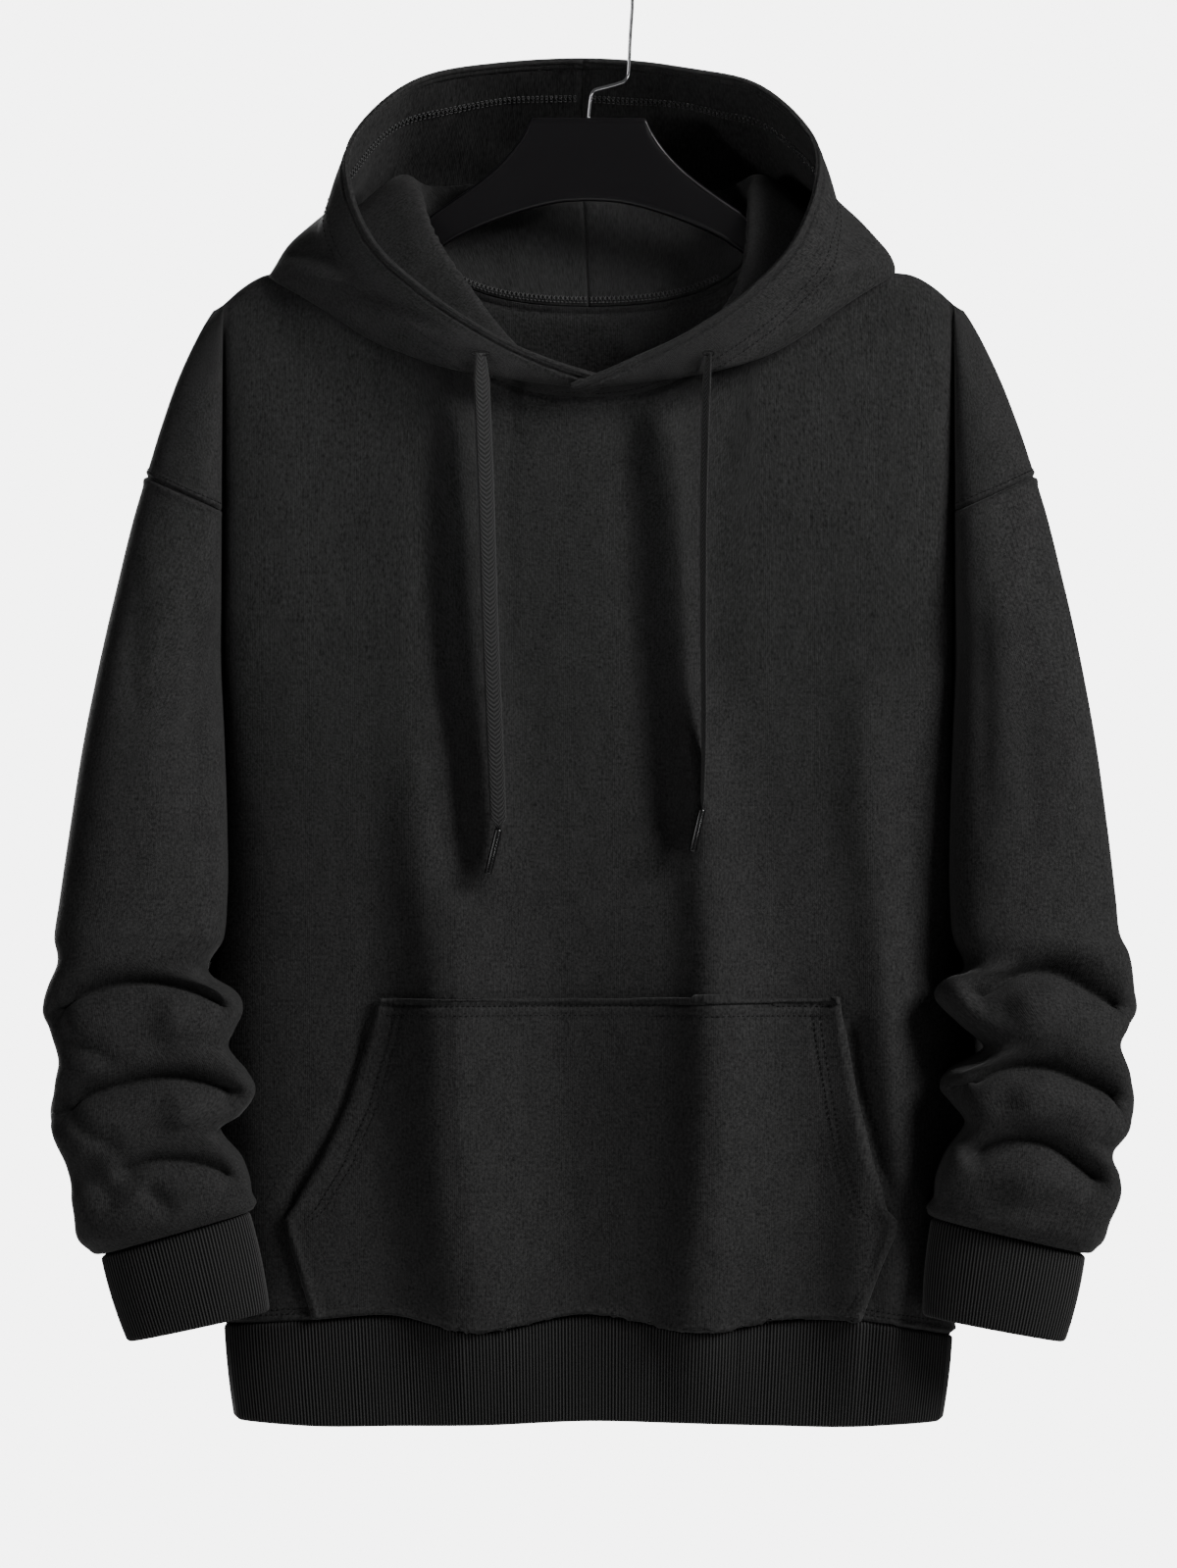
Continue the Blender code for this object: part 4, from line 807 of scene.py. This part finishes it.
def band(name, top, foot, rows, bulge, node, flat, flipped=False):
    """A closed band of ribs between two closed loops of points; bulge is how far it swells."""
    around = lengths(top)
    ribs = round(around[-1] / RIB_PITCH)
    phase = np.arange(ribs * 4 + 1) / 4.0
    top, foot = (picked(loop, around, phase / ribs * around[-1]) for loop in (top, foot))
    # The first rows are the seam's allowance, tucked inside.
    share = np.concatenate([[-0.06, -0.03, 0.0, 0.015, 0.03, 0.05], np.linspace(0.08, 0.93, rows),
                            [0.955, 0.975, 0.99, 1.0]])[:, None]
    points = top + (foot - top) * share[..., None]
    swell = (bulge * np.sin(np.pi * np.clip(share, 0.0, 1.0)) ** 0.7
             + np.interp(share, [-0.06, 0.0, 0.02], [-2.6, -2.2, 0.0]))
    ends = np.minimum(ease(share / 0.05) + 0.1, ease((1 - share) / 0.05) + 0.25)
    fold = -1.4 * (1 - np.sqrt(1 - np.clip(1 - (1 - share) / 0.045, 0, 1) ** 2))
    height = swell + fold + RIB_HEIGHT * ends * (0.5 + 0.5 * np.cos(2 * np.pi * phase)) ** 1.3
    if flipped:
        points, height = points[::-1], height[::-1]
    points = raised(points, height, closed=True)
    bm = cloth_grid(points, down(phase + 0.25, points), points[..., 2], close=True)
    made = walled(piece(name, bm, rib, "rib_knit", node), RIB_WALL - 0.4)
    (node.replace("cuff", "sleeve")
                                                          if "cuff" in node else "front")


def loop_below(loop, front_count):
    """The hem's lower edge, point by point below its seam."""
    low = []
    for index, (x, _, _) in enumerate(loop):
        in_front = index < front_count
        z = read(HEM_EDGE, np.array(x))[1] if in_front else BACK_HEM_FOOT_Z
        low.append(body_surface(np.array(x * HEM_FOOT_X / HEM_SEAM_X), np.array(float(z)),
                                in_front))
        if index in (0, front_count - 1):
            low[-1][1] = 0.0
    return np.array(low)


def unrolled(front):
    """The hem seam's line without the roll of the panel's edge."""
    x = np.linspace(-HEM_SEAM_X, HEM_SEAM_X, HEM_POINTS)
    return body_surface(x, HEM_LEVEL + hem_lift(x, np.full(HEM_POINTS, HEM_LEVEL), front), front)


hem_top = np.concatenate([unrolled(True), unrolled(False)[-2:0:-1], unrolled(True)[:1]])
band("hem_band", hem_top, loop_below(hem_top, HEM_POINTS), 10, 1.0, "hem_rib", (0.98, 0.07),
     flipped=True)
for side, hand in ((-1, "left"), (1, "right")):
    turn = np.linspace(0.0, np.pi, 60)
    loops = []
    for station in (CUFF_STATION[side], CUFF_FOOT):
        halves = [arm_surface(side, turn, np.full(60, station), front) for front in (True, False)]
        loops.append(np.concatenate([halves[0], halves[1][-2::-1]]))
    if side > 0:
        loops = [loop[::-1] for loop in loops]
    band(f"cuff_{hand}_band", *loops, 12, 1.6, f"cuff_{hand}", (0.215, 0.074))

# ------------------------------------------------------------------ hood
# Two curved fleece halves, sewn to the neckline and to each other down the centre back. They
# rise to an inner ridge, fold out over the shoulders, and come up and round to the opening.
HOOD = [
    # share, ridge x y z, fold x y z, roll x y z, edge x y z
    (0.00, 0, -46, -272, 0, -50, -270, 0, -54, -267, 0, -57, -262),
    (0.12, 24, -45, -262, 33, -53, -267, 31, -58, -261, 28, -59, -253),
    (0.24, 50, -40, -240, 74, -57, -261, 72, -62, -250, 60, -60, -238),
    (0.37, 75, -28, -206, 118, -45, -246, 121, -54, -226, 100, -57, -211),
    (0.49, 98, -13, -170, 156, -28, -219, 163, -38, -198, 130, -50, -180),
    (0.59, 109, 5, -145, 185, -6, -198, 184, -12, -184, 144, -38, -145),
    (0.70, 110, 26, -136, 174, 42, -210, 164, 28, -166, 141, -18, -113),
    (0.82, 80, 40, -145, 114, 70, -244, 122, 84, -158, 103, 16, -76.5),
    (0.92, 36, 46, -151, 56, 80, -266, 62, 108, -154, 54, 28, -65.5),
    (1.00, 0, 48, -151.5, 0, 82, -272, 0, 113, -150, 0, 34, -62),
    (1.08, -36, 46, -151, -56, 80, -266, -62, 108, -154, -54, 28, -65.5),
]
HOOD_LEAN = -5.0            # the whole hood has slid a little to the left
LEAN_SHARES = np.array([0.0, 0.8, 1.0, 0.9, 0.7])[:, None]
# How far each half's front tip laps inwards and forwards, and how far each of the five lines of
# the profile drops there; then where single lines swell: which, along x, y or z, how far,
# round which share, and over what reach.
TIP_SHARES = np.array([0.0, 0.4, 1.0, 1.0, 1.0])[:, None]
HOOD_TIP = {-1: (7.0, 0.0, (0, 0.5, 1, 2, 3)), 1: (11.0, 2.8, (0, 0.5, 2, 5, 9))}
HOOD_SWELLS = {
    -1: [(slice(2, 4), 1, 5.0, 0.43, 0.13)],
    1: [(1, 0, 21.0, 0.34, 0.15), (3, 0, 8.0, 0.7, 0.07), (4, 2, -2.0, 0.88, 0.06)],
}
# Soft dents: places as hundredths of the way round and of the profile (neck 0, ridge 100,
# fold 200, roll 300, opening 400), their reach and their depth.
HOOD_DENTS = {
    -1: [
        ([(82, 356), (72, 350), (62, 344), (53, 330), (46, 306)], 8, 6, 9, 0.3),
        ([(52, 225), (40, 300), (30, 360)], 5, 4, 2.6, 0.3),
        ([(66, 215), (58, 290), (50, 360)], 5, 4, 2.2, 0.3),
        ([(60, 210), (52, 262), (44, 320)], 3, 3, -1.8, 0.35),
        ([(24, 230), (34, 250), (44, 240)], 20, 20, 1.5, 0.35),
        ([(84, 330), (86, 365), (88, 395)], 3, 3, 2, 0.35),
        ([(92, 335), (93, 365), (95, 392)], 2.5, 3, -1.6, 0.35),
        ([(84, 60), (86, 120), (90, 170)], 5, 3.5, 6, 0.35),
        ([(94, 50), (93, 120), (94, 180)], 4, 3.5, 3.5, 0.35),
        ([(70, 30), (76, 100), (80, 160)], 4, 4, -3, 0.35),
    ],
    1: [
        ([(84, 360), (74, 354), (64, 350), (54, 338), (46, 316)], 8, 6, 8, 0.3),
        ([(56, 225), (44, 300), (34, 365)], 4, 5, 2.4, 0.3),
        ([(66, 220), (60, 290), (54, 350)], 4, 4, -2, 0.35),
        ([(24, 250), (36, 300), (46, 350)], 4, 4, 1.4, 0.35),
        ([(82, 325), (85, 362), (86, 395)], 3, 3, 2.2, 0.35),
        ([(89, 330), (90, 365), (92, 392)], 2.5, 3, -1.8, 0.35),
        ([(95, 330), (96, 365), (97, 392)], 2, 2.5, 1.6, 0.35),
        ([(86, 50), (88, 120), (92, 180)], 5, 4, 4, 0.35),
        ([(76, 40), (80, 110), (84, 170)], 4, 4, -2.5, 0.35),
    ],
}
HOOD_ROWS, EDGE_WALL = 78, 1.9
PROFILE = np.linspace(0.0, 4.0, 81)
FROM_EDGE = np.array([8.0, 6.5, 5.2, 4.3, 3.6, 3.0, 2.4, 1.6, 0.8, 0.0])
HOOD_SHARES = np.concatenate([np.linspace(0, 0.5, 56)[:-1], np.linspace(0.5, 1.0, 60)])


def hood_cloth(side):
    """Rows up the profile by columns from the front centre back, with the flaps crossed."""
    rise = np.linspace(0.0, 90.0, 60)
    neck = []
    for front, turn in ((True, rise), (False, rise[-2::-1])):
        x, z = neck_point(turn, front)
        line = body_surface(x, z, front)
        line[np.abs(turn - 90.0) < 0.01, 1] = 0.0
        neck.append(line)
    neck = np.concatenate(neck)
    far = lengths(neck)
    share = HOOD_SHARES
    guides = read(HOOD, share).reshape(4, 3, -1).transpose(0, 2, 1)
    lines = np.concatenate([picked(neck, far, share * far[-1])[None], guides])
    tip = ease(1 - share / 0.15)
    inward, forward, drops = HOOD_TIP[side]
    lines[..., 0] -= TIP_SHARES * inward * tip
    lines[..., 1] -= TIP_SHARES * forward * ease(1 - share / 0.2)
    lines[..., 2] -= np.array(drops)[:, None] * tip
    for rows, way, far_out, centre, reach in HOOD_SWELLS[side]:
        lines[rows, :, way] += far_out * bell(share, centre, reach)
    lines[..., 0] = side * lines[..., 0] + HOOD_LEAN * LEAN_SHARES * ease((share - 0.25) / 0.3)
    slopes = np.gradient(lines, axis=0)
    spot = np.minimum(PROFILE.astype(int), 3)
    t = (PROFILE - spot)[:, None, None]
    points = between(t, spot, lines, slopes)
    place_a, place_b = np.broadcast_arrays(share * 100.0, PROFILE[:, None] * 100.0)
    dent = -sum(groove(place_a, place_b * 0.25, [(a, b * 0.25) for a, b in line], *rest)
                for line, *rest in HOOD_DENTS[side])
    order = slice(None, None, -1) if side < 0 else slice(None)
    points = raised(points[:, order], dent[:, order])
    made = []
    for column in points.transpose(1, 0, 2):
        run = lengths(column)
        spots = np.concatenate([np.linspace(0.0, run[-1] - FROM_EDGE[0], HOOD_ROWS)[:-1],
                                run[-1] - FROM_EDGE])
        made.append(picked(column, run, spots))
    points = np.array(made).transpose(1, 0, 2)
    away = np.concatenate([np.full(HOOD_ROWS - 1, FAR), FROM_EDGE])[:, None]
    points = raised(points, 0.5 * bell(away, 1.4, 1.2) - 1.1 * bell(away, 3.4, 0.7)
                    + 0.5 * bell(away, 4.8, 0.8))
    return points, down(lengths(points[40]), points), over(lengths(points[:, 60]), points)


def swept(points):
    """A closed tube from rows of sections; each row goes once round and meets itself."""
    bm = cloth_grid(points, down(lengths(points[len(points) // 2]), points),
                    over(lengths(points[:, 0]), points), close=True)
    bmesh.ops.holes_fill(bm, edges=[e for e in bm.edges if e.is_boundary])
    bmesh.ops.recalc_face_normals(bm, faces=bm.faces)
    return smoothed(bm)


def edge_fold(points):
    """The doubled, stitched-down edge round the opening: two lips with a groove between them."""
    rim = points[-1]
    out = unit(points[-1] - points[-5])
    normal = unit(np.cross(np.gradient(rim, axis=0), out))
    angle = 2 * np.pi * np.arange(17) / 16
    through = -1.4 + 2.0 * np.cos(angle)
    pinch = np.where(np.sin(angle) > 0, 1 - 0.6 * bell(np.cos(angle), 0.0, 0.3), 1.0)
    beyond = -0.3 + EDGE_WALL * np.sin(angle) * pinch
    return rim[:, None] + normal[:, None] * through[:, None] + out[:, None] * beyond[:, None]


hoods = {}
for side, hand in ((-1, "left"), (1, "right")):
    hoods[side], across, up = hood_cloth(side)
    made = walled(piece(f"hood_{hand}_cloth", cloth_grid(hoods[side], across, up), fleece,
                        "fleece", f"hood_{hand}"), FLEECE)
    edge = piece(f"hood_{hand}_edge", swept(edge_fold(hoods[side])), fleece, "fleece",
                 f"hood_{hand}")

# ------------------------------------------------------------------ pocket
# One fleece piece stitched over the front, sewn into the hem seam and open at its two slants.
POCKET_TOP_Z, POCKET_LIFT = -641.8, 1.2
POCKET_SIDES = [
    # z,     left_x, right_x
    (-643, -128, 153.5), (-665, -133, 156), (-705, -146, 163), (-740, -162, 171), (-769, -180, 181),
    (-776, -186, 187), (-785, -184.5, 186.5), (-842.5, -168, 165),
]


def pocket_places():
    levels = np.concatenate([spaced(HEM_LEVEL + 0.6, -774.0, 2.6, True),
                             spaced(-773.0, -648.0, 2.6),
                             POCKET_TOP_Z - np.array([5.4, 4.6, 3.8, 3.0, 2.2, 1.4, 0.6, 0.0])])
    table = np.array(POCKET_SIDES)[::-1]
    left, right = (np.interp(levels, table[:, 0], table[:, i])[:, None] for i in (1, 2))
    near = np.array([0.0, 0.5, 1.2, 2.0, 2.8, 3.8, 5.2])
    inner = np.linspace(0, 1, 106)[1:-1]
    x = np.concatenate([left + near, left + 5.2 + (right - left - 10.4) * inner,
                        right - near[::-1]], 1)
    z = np.broadcast_to(levels[:, None], x.shape)
    slope = np.abs(np.gradient(left[:, 0], levels))[:, None]
    away = np.minimum(x - left, right - x) / np.hypot(1, slope)
    return x, z, away, POCKET_TOP_Z - z


x, z, from_side, from_top = pocket_places()
on_slant = ease((z + 779.0) / 3.0)
line = lambda away, at: -0.9 * bell(away, at, 1.1)
height = (POCKET_LIFT + FLEECE + 1.3 * bell(from_top, 1.6, 1.4)
          + line(from_top, 4.6) + 0.9 * bell(from_top, 7.4, 1.8) + 1.3 * line(from_top, 10.4)
          + (1.2 * bell(from_side, 3.4, 2.4) - 1.6 * bell(from_side, 0.0, 0.6))
          + on_slant * (line(from_side, 13.0) + line(from_side, 17.5))
          + (1 - on_slant) * line(from_side, 7.0)
          + 1.2 * bell(z - HEM_LEVEL, 2.7, 2.0) - 1.4 * bell(z - HEM_LEVEL, 0.6, 0.8))
pocket = raised(body_surface(x, z + hem_lift(x, z, True), True), height)
made = walled(piece("pocket_cloth", cloth_grid(pocket, x + 190.0, z), fleece, "fleece", "pocket"),
              FLEECE)

# ------------------------------------------------------------------ sewing
# Black topstitching beside the seams and round the pocket, bound buttonholes where the cords
# come out, and dark grey overlock loops inside the hood, round its channel and its neck seam.
thread = Finish("black_thread", (0.004, 0.004, 0.004), 0.85, Specular_IOR_Level=0.08)


def stitched(line, outward, pitch=3.4, long=2.5, wide=0.8, slant=0.0):
    """A row of small stitches along a line; outward has the cloth's normal at each point."""
    far = lengths(line)
    count = max(1, int(far[-1] / pitch))
    spots = (np.arange(count) + 0.5) * far[-1] / count
    place, normal, run = (picked(rows, far, spots) for rows in (
        line, outward, np.gradient(line, far, axis=0)))
    bm = bmesh.new()
    for spot, up, ahead in zip(place, normal, run):
        up, ahead = Vector(up).normalized(), Vector(ahead).normalized()
        beside = up.cross(ahead).normalized()
        if slant:
            ahead = (ahead * math.cos(slant) + beside * math.sin(slant)).normalized()
            beside = up.cross(ahead).normalized()
        shape = Matrix((ahead * long / 2 * MM, beside * wide / 2 * MM, up * wide / 2 * MM))
        shape = Matrix.Translation(Vector(spot) * MM) @ shape.transposed().to_4x4()
        bmesh.ops.create_icosphere(bm, subdivisions=1, radius=1.0, matrix=shape)
    return smoothed(bm)


def on_body(x, z, front, lift):
    """Places above a panel and its outward normals, found from small steps along it."""
    here = body_surface(x, z, front)
    normal = unit(np.cross(body_surface(x + 0.8, z, front) - here,
                           body_surface(x, z + 0.8, front) - here)) * (1.0 if front else -1.0)
    return here + normal * lift, normal


rows = []
x = np.linspace(-216.0, 216.0, 200)
for front in (True, False):
    level = np.full(200, HEM_LEVEL)
    for above, lift in ((4.6, 0.55), (7.6, 0.1)):
        rows.append(stitched(*on_body(x, level + above + hem_lift(x, level, front), front, lift)))
turn = np.linspace(-80.0, 80.0, 160)
for front in (True, False):
    neck_x, neck_z = neck_point(np.abs(turn), front)
    rows.append(stitched(*on_body(np.sign(turn) * neck_x * 1.01, neck_z - 3.6, front, 0.15),
                         pitch=2.6, long=2.0))
turn = np.linspace(0.25, 2.9, 80)
for side, front in ((-1, True), (-1, False), (1, True), (1, False)):
    line, nearby = (arm_surface(side, turn, seam_station(turn) - away, front)
                    for away in (3.8, 8.8))
    normal = np.cross(np.gradient(line, axis=0), nearby - line)
    normal = unit(normal * np.sign(normal[:, 1:2]) * (-1.0 if front else 1.0))
    rows.append(stitched(line + normal * 0.8, normal, pitch=2.8))
piece("seam_stitches", joined(*rows), thread, "fleece")

rows = []
table = np.array(POCKET_SIDES)[::-1]
limit = lambda level, way: np.interp(level, table[:, 0], table[:, 1 if way < 0 else 2])
x = np.linspace(POCKET_SIDES[0][1] + 2.0, POCKET_SIDES[0][2] - 2.0, 150)
for below in (4.6, 10.4):
    rows.append(stitched(*on_body(x, np.full(150, POCKET_TOP_Z - below), True,
                                  POCKET_LIFT + FLEECE - 0.3)))
for way in (-1, 1):
    for inside, low, high, lift in ((13.0, -800.0, -652.0, -0.2), (17.5, -806.0, -652.0, -0.2),
                                    (1.4, -832.0, -780.0, 0.0), (7.0, -834.0, -784.0, -0.2),
                                    (1.4, -774.0, -646.0, 0.0)):
        level = np.linspace(low, high, 70)
        slant = np.hypot(1.0, np.gradient(limit(level, way), level))
        x = limit(level, way) - way * inside * np.minimum(slant, 1.2)
        level = level + hem_lift(x, level, True)
        rows.append(stitched(*on_body(x, level, True, POCKET_LIFT + FLEECE + lift)))
piece("pocket_stitches", joined(*rows), thread, "fleece")


def on_hood(side, share, from_edge, lift, start=-1):
    """Places on a hood half so far from its opening (or its neck), and its normals."""
    points = hoods[side] if side > 0 else hoods[side][:, ::-1]
    normal = unit(np.cross(np.gradient(points, axis=1), np.gradient(points, axis=0)) * side)
    order = slice(None, None, -1) if start < 0 else slice(None)
    found = []
    for column in np.interp(share, HOOD_SHARES, np.arange(len(HOOD_SHARES))):
        near = min(int(column), len(HOOD_SHARES) - 2)
        part = column - near
        spot, out = (g[order, near] * (1 - part) + g[order, near + 1] * part
                     for g in (points, normal))
        run = lengths(spot)
        found.append([np.interp(from_edge, run, rows) for rows in (*spot.T, *out.T)])
    found = np.array(found)
    out = unit(found[:, 3:])
    return found[:, :3] + out * lift, out * (1.0 if lift > 0 else -1.0)


rows, loops = [], []
inside = -FLEECE - 0.5
for side in (-1, 1):
    share = np.linspace(0.60, 0.995, 90)
    for off in (28.4, 33.2):
        loops.append(stitched(*on_hood(side, share, off, inside), 2.9, 2.5, 0.9))
    for slant in (1.0, -1.0):
        loops.append(stitched(*on_hood(side, share, 30.8, inside), 2.9, 4.8, 0.8, slant))
    share = np.linspace(0.74, 0.998, 80)
    loops.append(stitched(*on_hood(side, share, 1.8, inside, start=0), 2.4, 2.2, 0.9))
    for slant in (1.0, -1.0):
        loops.append(stitched(*on_hood(side, share, 4.4, inside, start=0), 2.7, 4.6, 0.8, slant))
    share = np.linspace(0.1 if side > 0 else 0.16, 0.62, 90)
    for off in (24.0, 30.0):
        rows.append(stitched(*on_hood(side, share, off, 0.1)))
    share = np.linspace(0.02, 0.8, 110)
    rows.append(stitched(*on_hood(side, share, 4.2, 0.15, start=0)))
turn = np.linspace(0.0, 2 * np.pi, 33)
for exit_x, exit_y, exit_z in (LEFT_ROUTE[0], RIGHT_ROUTE[0]):
    wide = 5.6 if exit_x < 0 else 3.4
    hole = np.stack([exit_x + wide * np.cos(turn), 0 * turn + exit_y,
                     exit_z + 1.5 * np.sin(turn)], 1)
    rows.append(stitched(hole, np.tile([0.0, -1.0, 0.0], (33, 1)), 1.1, 2.2, 1.3))
piece("hood_stitches", joined(*rows), thread, "fleece")
floss = Finish("overlock_floss", (0.026, 0.026, 0.026), 0.85, Specular_IOR_Level=0.08)
piece("hood_overlock", joined(*loops), floss, "fleece")

# ------------------------------------------------------------------ hanger
# Moulded black plastic with a satin skin: a flat middle plate between two sloping arms, with a
# low rim round its edges.
hanger_black = Finish("satin_plastic", (0.0011, 0.0009, 0.0012), 0.3, Specular_IOR_Level=0.28)
at = hanger_black.add("ShaderNodeTexCoord", {}, [], out=3)
grain = hanger_black.add("ShaderNodeTexNoise", {}, {"Vector": at, "Scale": 900.0, "Detail": 2.0})
cloud = hanger_black.add("ShaderNodeTexNoise", {}, {"Vector": at, "Scale": 28.0, "Detail": 3.0})
hanger_black.relief(grain, 0.00004, 0.6)
hanger_black.drive("Roughness", 0.26 + cloud * 0.06)
ARM_TALL, HALF_THICK = 21.0, 4.2
HANGER_PLATE = [(x, top, bottom, HALF_THICK) for x, top, bottom in (
    (0, -101, -152.5), (18, -101, -153.6), (30, -101, -156), (42, -113, -159.4),
    (52, -127, -162.8), (62, -136, -166.6), (82, -152, -176))]
# The arms: how far under the shoulder's line they run, and half their thickness.
for x, under, thick in ((104, 4.3, 4.2), (122, 3.1, 4.2), (158, 3, 4.2), (186, 3.1, 4.2),
                        (208, 3.5, 3.4), (222, 3.6, 2.7)):
    top = (NECK_POINT_Z - SHOULDER_SLOPE * (x - NECK_HALF_WIDTH)
           - under * math.hypot(1, SHOULDER_SLOPE))
    HANGER_PLATE.append((x, top, top - ARM_TALL, thick))
HANGER_PLATE.append((227.0, HANGER_PLATE[-1][1] - 4.0, HANGER_PLATE[-1][1] - 16.0, 2.1))

# The plate's top edge is straight, with a corner before it flares out into the arms.
PLATE_TOP = [
    (0, -101.2), (33.5, -101.2), (35.2, -101.8), (36, -103.2), (38, -108), (42, -114.6),
    (47, -121.2), (53, -128), (60, -134.6), (68, -141), (77, -147.6), (87, -154.4), (97, -161),
    (104, -165 - 4.83),
]
x = np.concatenate([np.linspace(0, 34, 12), [34.6, 35.2, 35.7, 36.1], np.linspace(37, 60, 20),
                    np.linspace(62, 227, 84)])
top, bottom, thick = read(HANGER_PLATE, x)
top = np.where(x < 104.0, np.interp(x, *zip(*PLATE_TOP)), top)
x, top, bottom, thick = (np.concatenate([way * a[:0:-1], a]) for way, a in
                         ((-1, x), (1, top), (1, bottom), (1, thick)))
angle = 2 * np.pi * (np.arange(65) % 64) / 64
up = power(np.cos(angle), 0.35)
tall = (top - bottom)[:, None] / 2
from_edge = tall * (1 - np.abs(up))
recess = 0.7 * ease((from_edge - 2.2) / 1.0) * (thick[:, None] > 3.9)
across = (thick[:, None] - recess) * power(np.sin(angle), 0.6)
section = np.stack([np.broadcast_to(x[:, None], across.shape), across,
                    (top + bottom)[:, None] / 2 + tall * up], 2)
piece("hanger_body", swept(section), hanger_black, "hanger_plastic", "hanger")

# ------------------------------------------------------------------ hook
# Bright chromed wire, set in the plate, with a small jog before it rises to the open hook.
WIRE, HOOK_RADIUS = 2.3, 27.0
chrome = Finish("chromed_wire", (0.34, 0.34, 0.35), 0.16, Metallic=1.0)
HOOK_STEM = [
    (0, -102), (0.8, -94), (1.6, -88), (2.6, -85.4), (5, -83.8), (12, -82), (19, -80),
    (22.4, -78.4), (24.2, -75.4), (24.8, -70), (25.6, -52), (26.8, -34),
]
stem = along([(x, 0.0, z) for x, z in HOOK_STEM], 6)
bend = np.radians(np.arange(0.0, 180.1, 5.0))
centre_z = WIRE / 2 - HOOK_RADIUS
arc = np.stack([HOOK_RADIUS * np.cos(bend), 0 * bend, centre_z + HOOK_RADIUS * np.sin(bend)], 1)
line = np.concatenate([stem, arc])
run = unit(np.gradient(line, axis=0))
side_way = np.stack([run[:, 2], 0 * run[:, 0], -run[:, 0]], 1)
angle = (2 * np.pi * np.arange(17) / 16)[:, None]
ring = side_way[:, None] * np.cos(angle) + np.array([0.0, 1.0, 0.0]) * np.sin(angle)
piece("hook_wire", swept(line[:, None] + ring * WIRE / 2), chrome, "hook_chrome", "hook")

# ------------------------------------------------------------------ light and floor
# A white sweep all round, a soft room, a large lamp high on the right with a weak one opposite,
# two narrow ones that reach into the hood, one behind for the back, and a pale floor below.
sky = bpy.data.worlds.new("pale_room")
bpy.context.scene.world = sky
sky.use_nodes = True
room = sky.node_tree.nodes["Background"].inputs
room["Color"].default_value, room["Strength"].default_value = (1.0, 1.0, 1.0, 1.0), 0.17


def lamp(name, place, target, size, watts, spread=180.0):
    light = bpy.data.lights.new(name, "AREA")
    light.spread = math.radians(spread)
    light.shape, light.size, light.size_y, light.energy = "RECTANGLE", *size, watts
    stand = bpy.data.objects.new(name, light)
    stand.location = place
    stand.rotation_euler = (Vector(target) - Vector(place)).to_track_quat("-Z", "Y").to_euler()
    bpy.context.scene.collection.objects.link(stand)


lamp("key", (3.8, -2.4, 2.0), (0.0, 0.0, -0.35), (1.9, 2.1), 238.0, 100.0)
lamp("fill", (-2.7, -1.7, 0.2), (0.0, 0.0, -0.6), (1.2, 1.2), 27.0)
lamp("inner", (2.0, -2.2, -0.5), (-0.01, 0.05, -0.09), (0.9, 0.9), 0.62, 9.0)
lamp("inner_left", (-1.7, -2.4, -0.3), (0.1, 0.05, -0.09), (0.6, 0.6), 0.5, 8.0)
lamp("rear", (-1.4, 3.8, 0.3), (0.0, 0.0, -0.45), (2.4, 2.4), 360.0)


bm = bmesh.new()
bmesh.ops.create_circle(bm, cap_ends=True, segments=96, radius=1.3)
bmesh.ops.translate(bm, verts=bm.verts, vec=(0.0, 0.0, -1.25))
shaped("floor", bm, Finish("pale_floor", (0.8, 0.8, 0.8), 0.9))
bm = bmesh.new()
bmesh.ops.create_uvsphere(bm, u_segments=48, v_segments=24, radius=12.0)
bmesh.ops.reverse_faces(bm, faces=bm.faces)
sweep = shaped("white_sweep", bm, Finish("white_sweep", (0.0, 0.0, 0.0), 1.0,
                                         Emission_Color=(1.0, 1.0, 1.0, 1.0),
                                         Emission_Strength=5.8))
sweep.visible_diffuse = sweep.visible_glossy = sweep.visible_transmission = False
sweep.visible_shadow = sweep.visible_volume_scatter = False
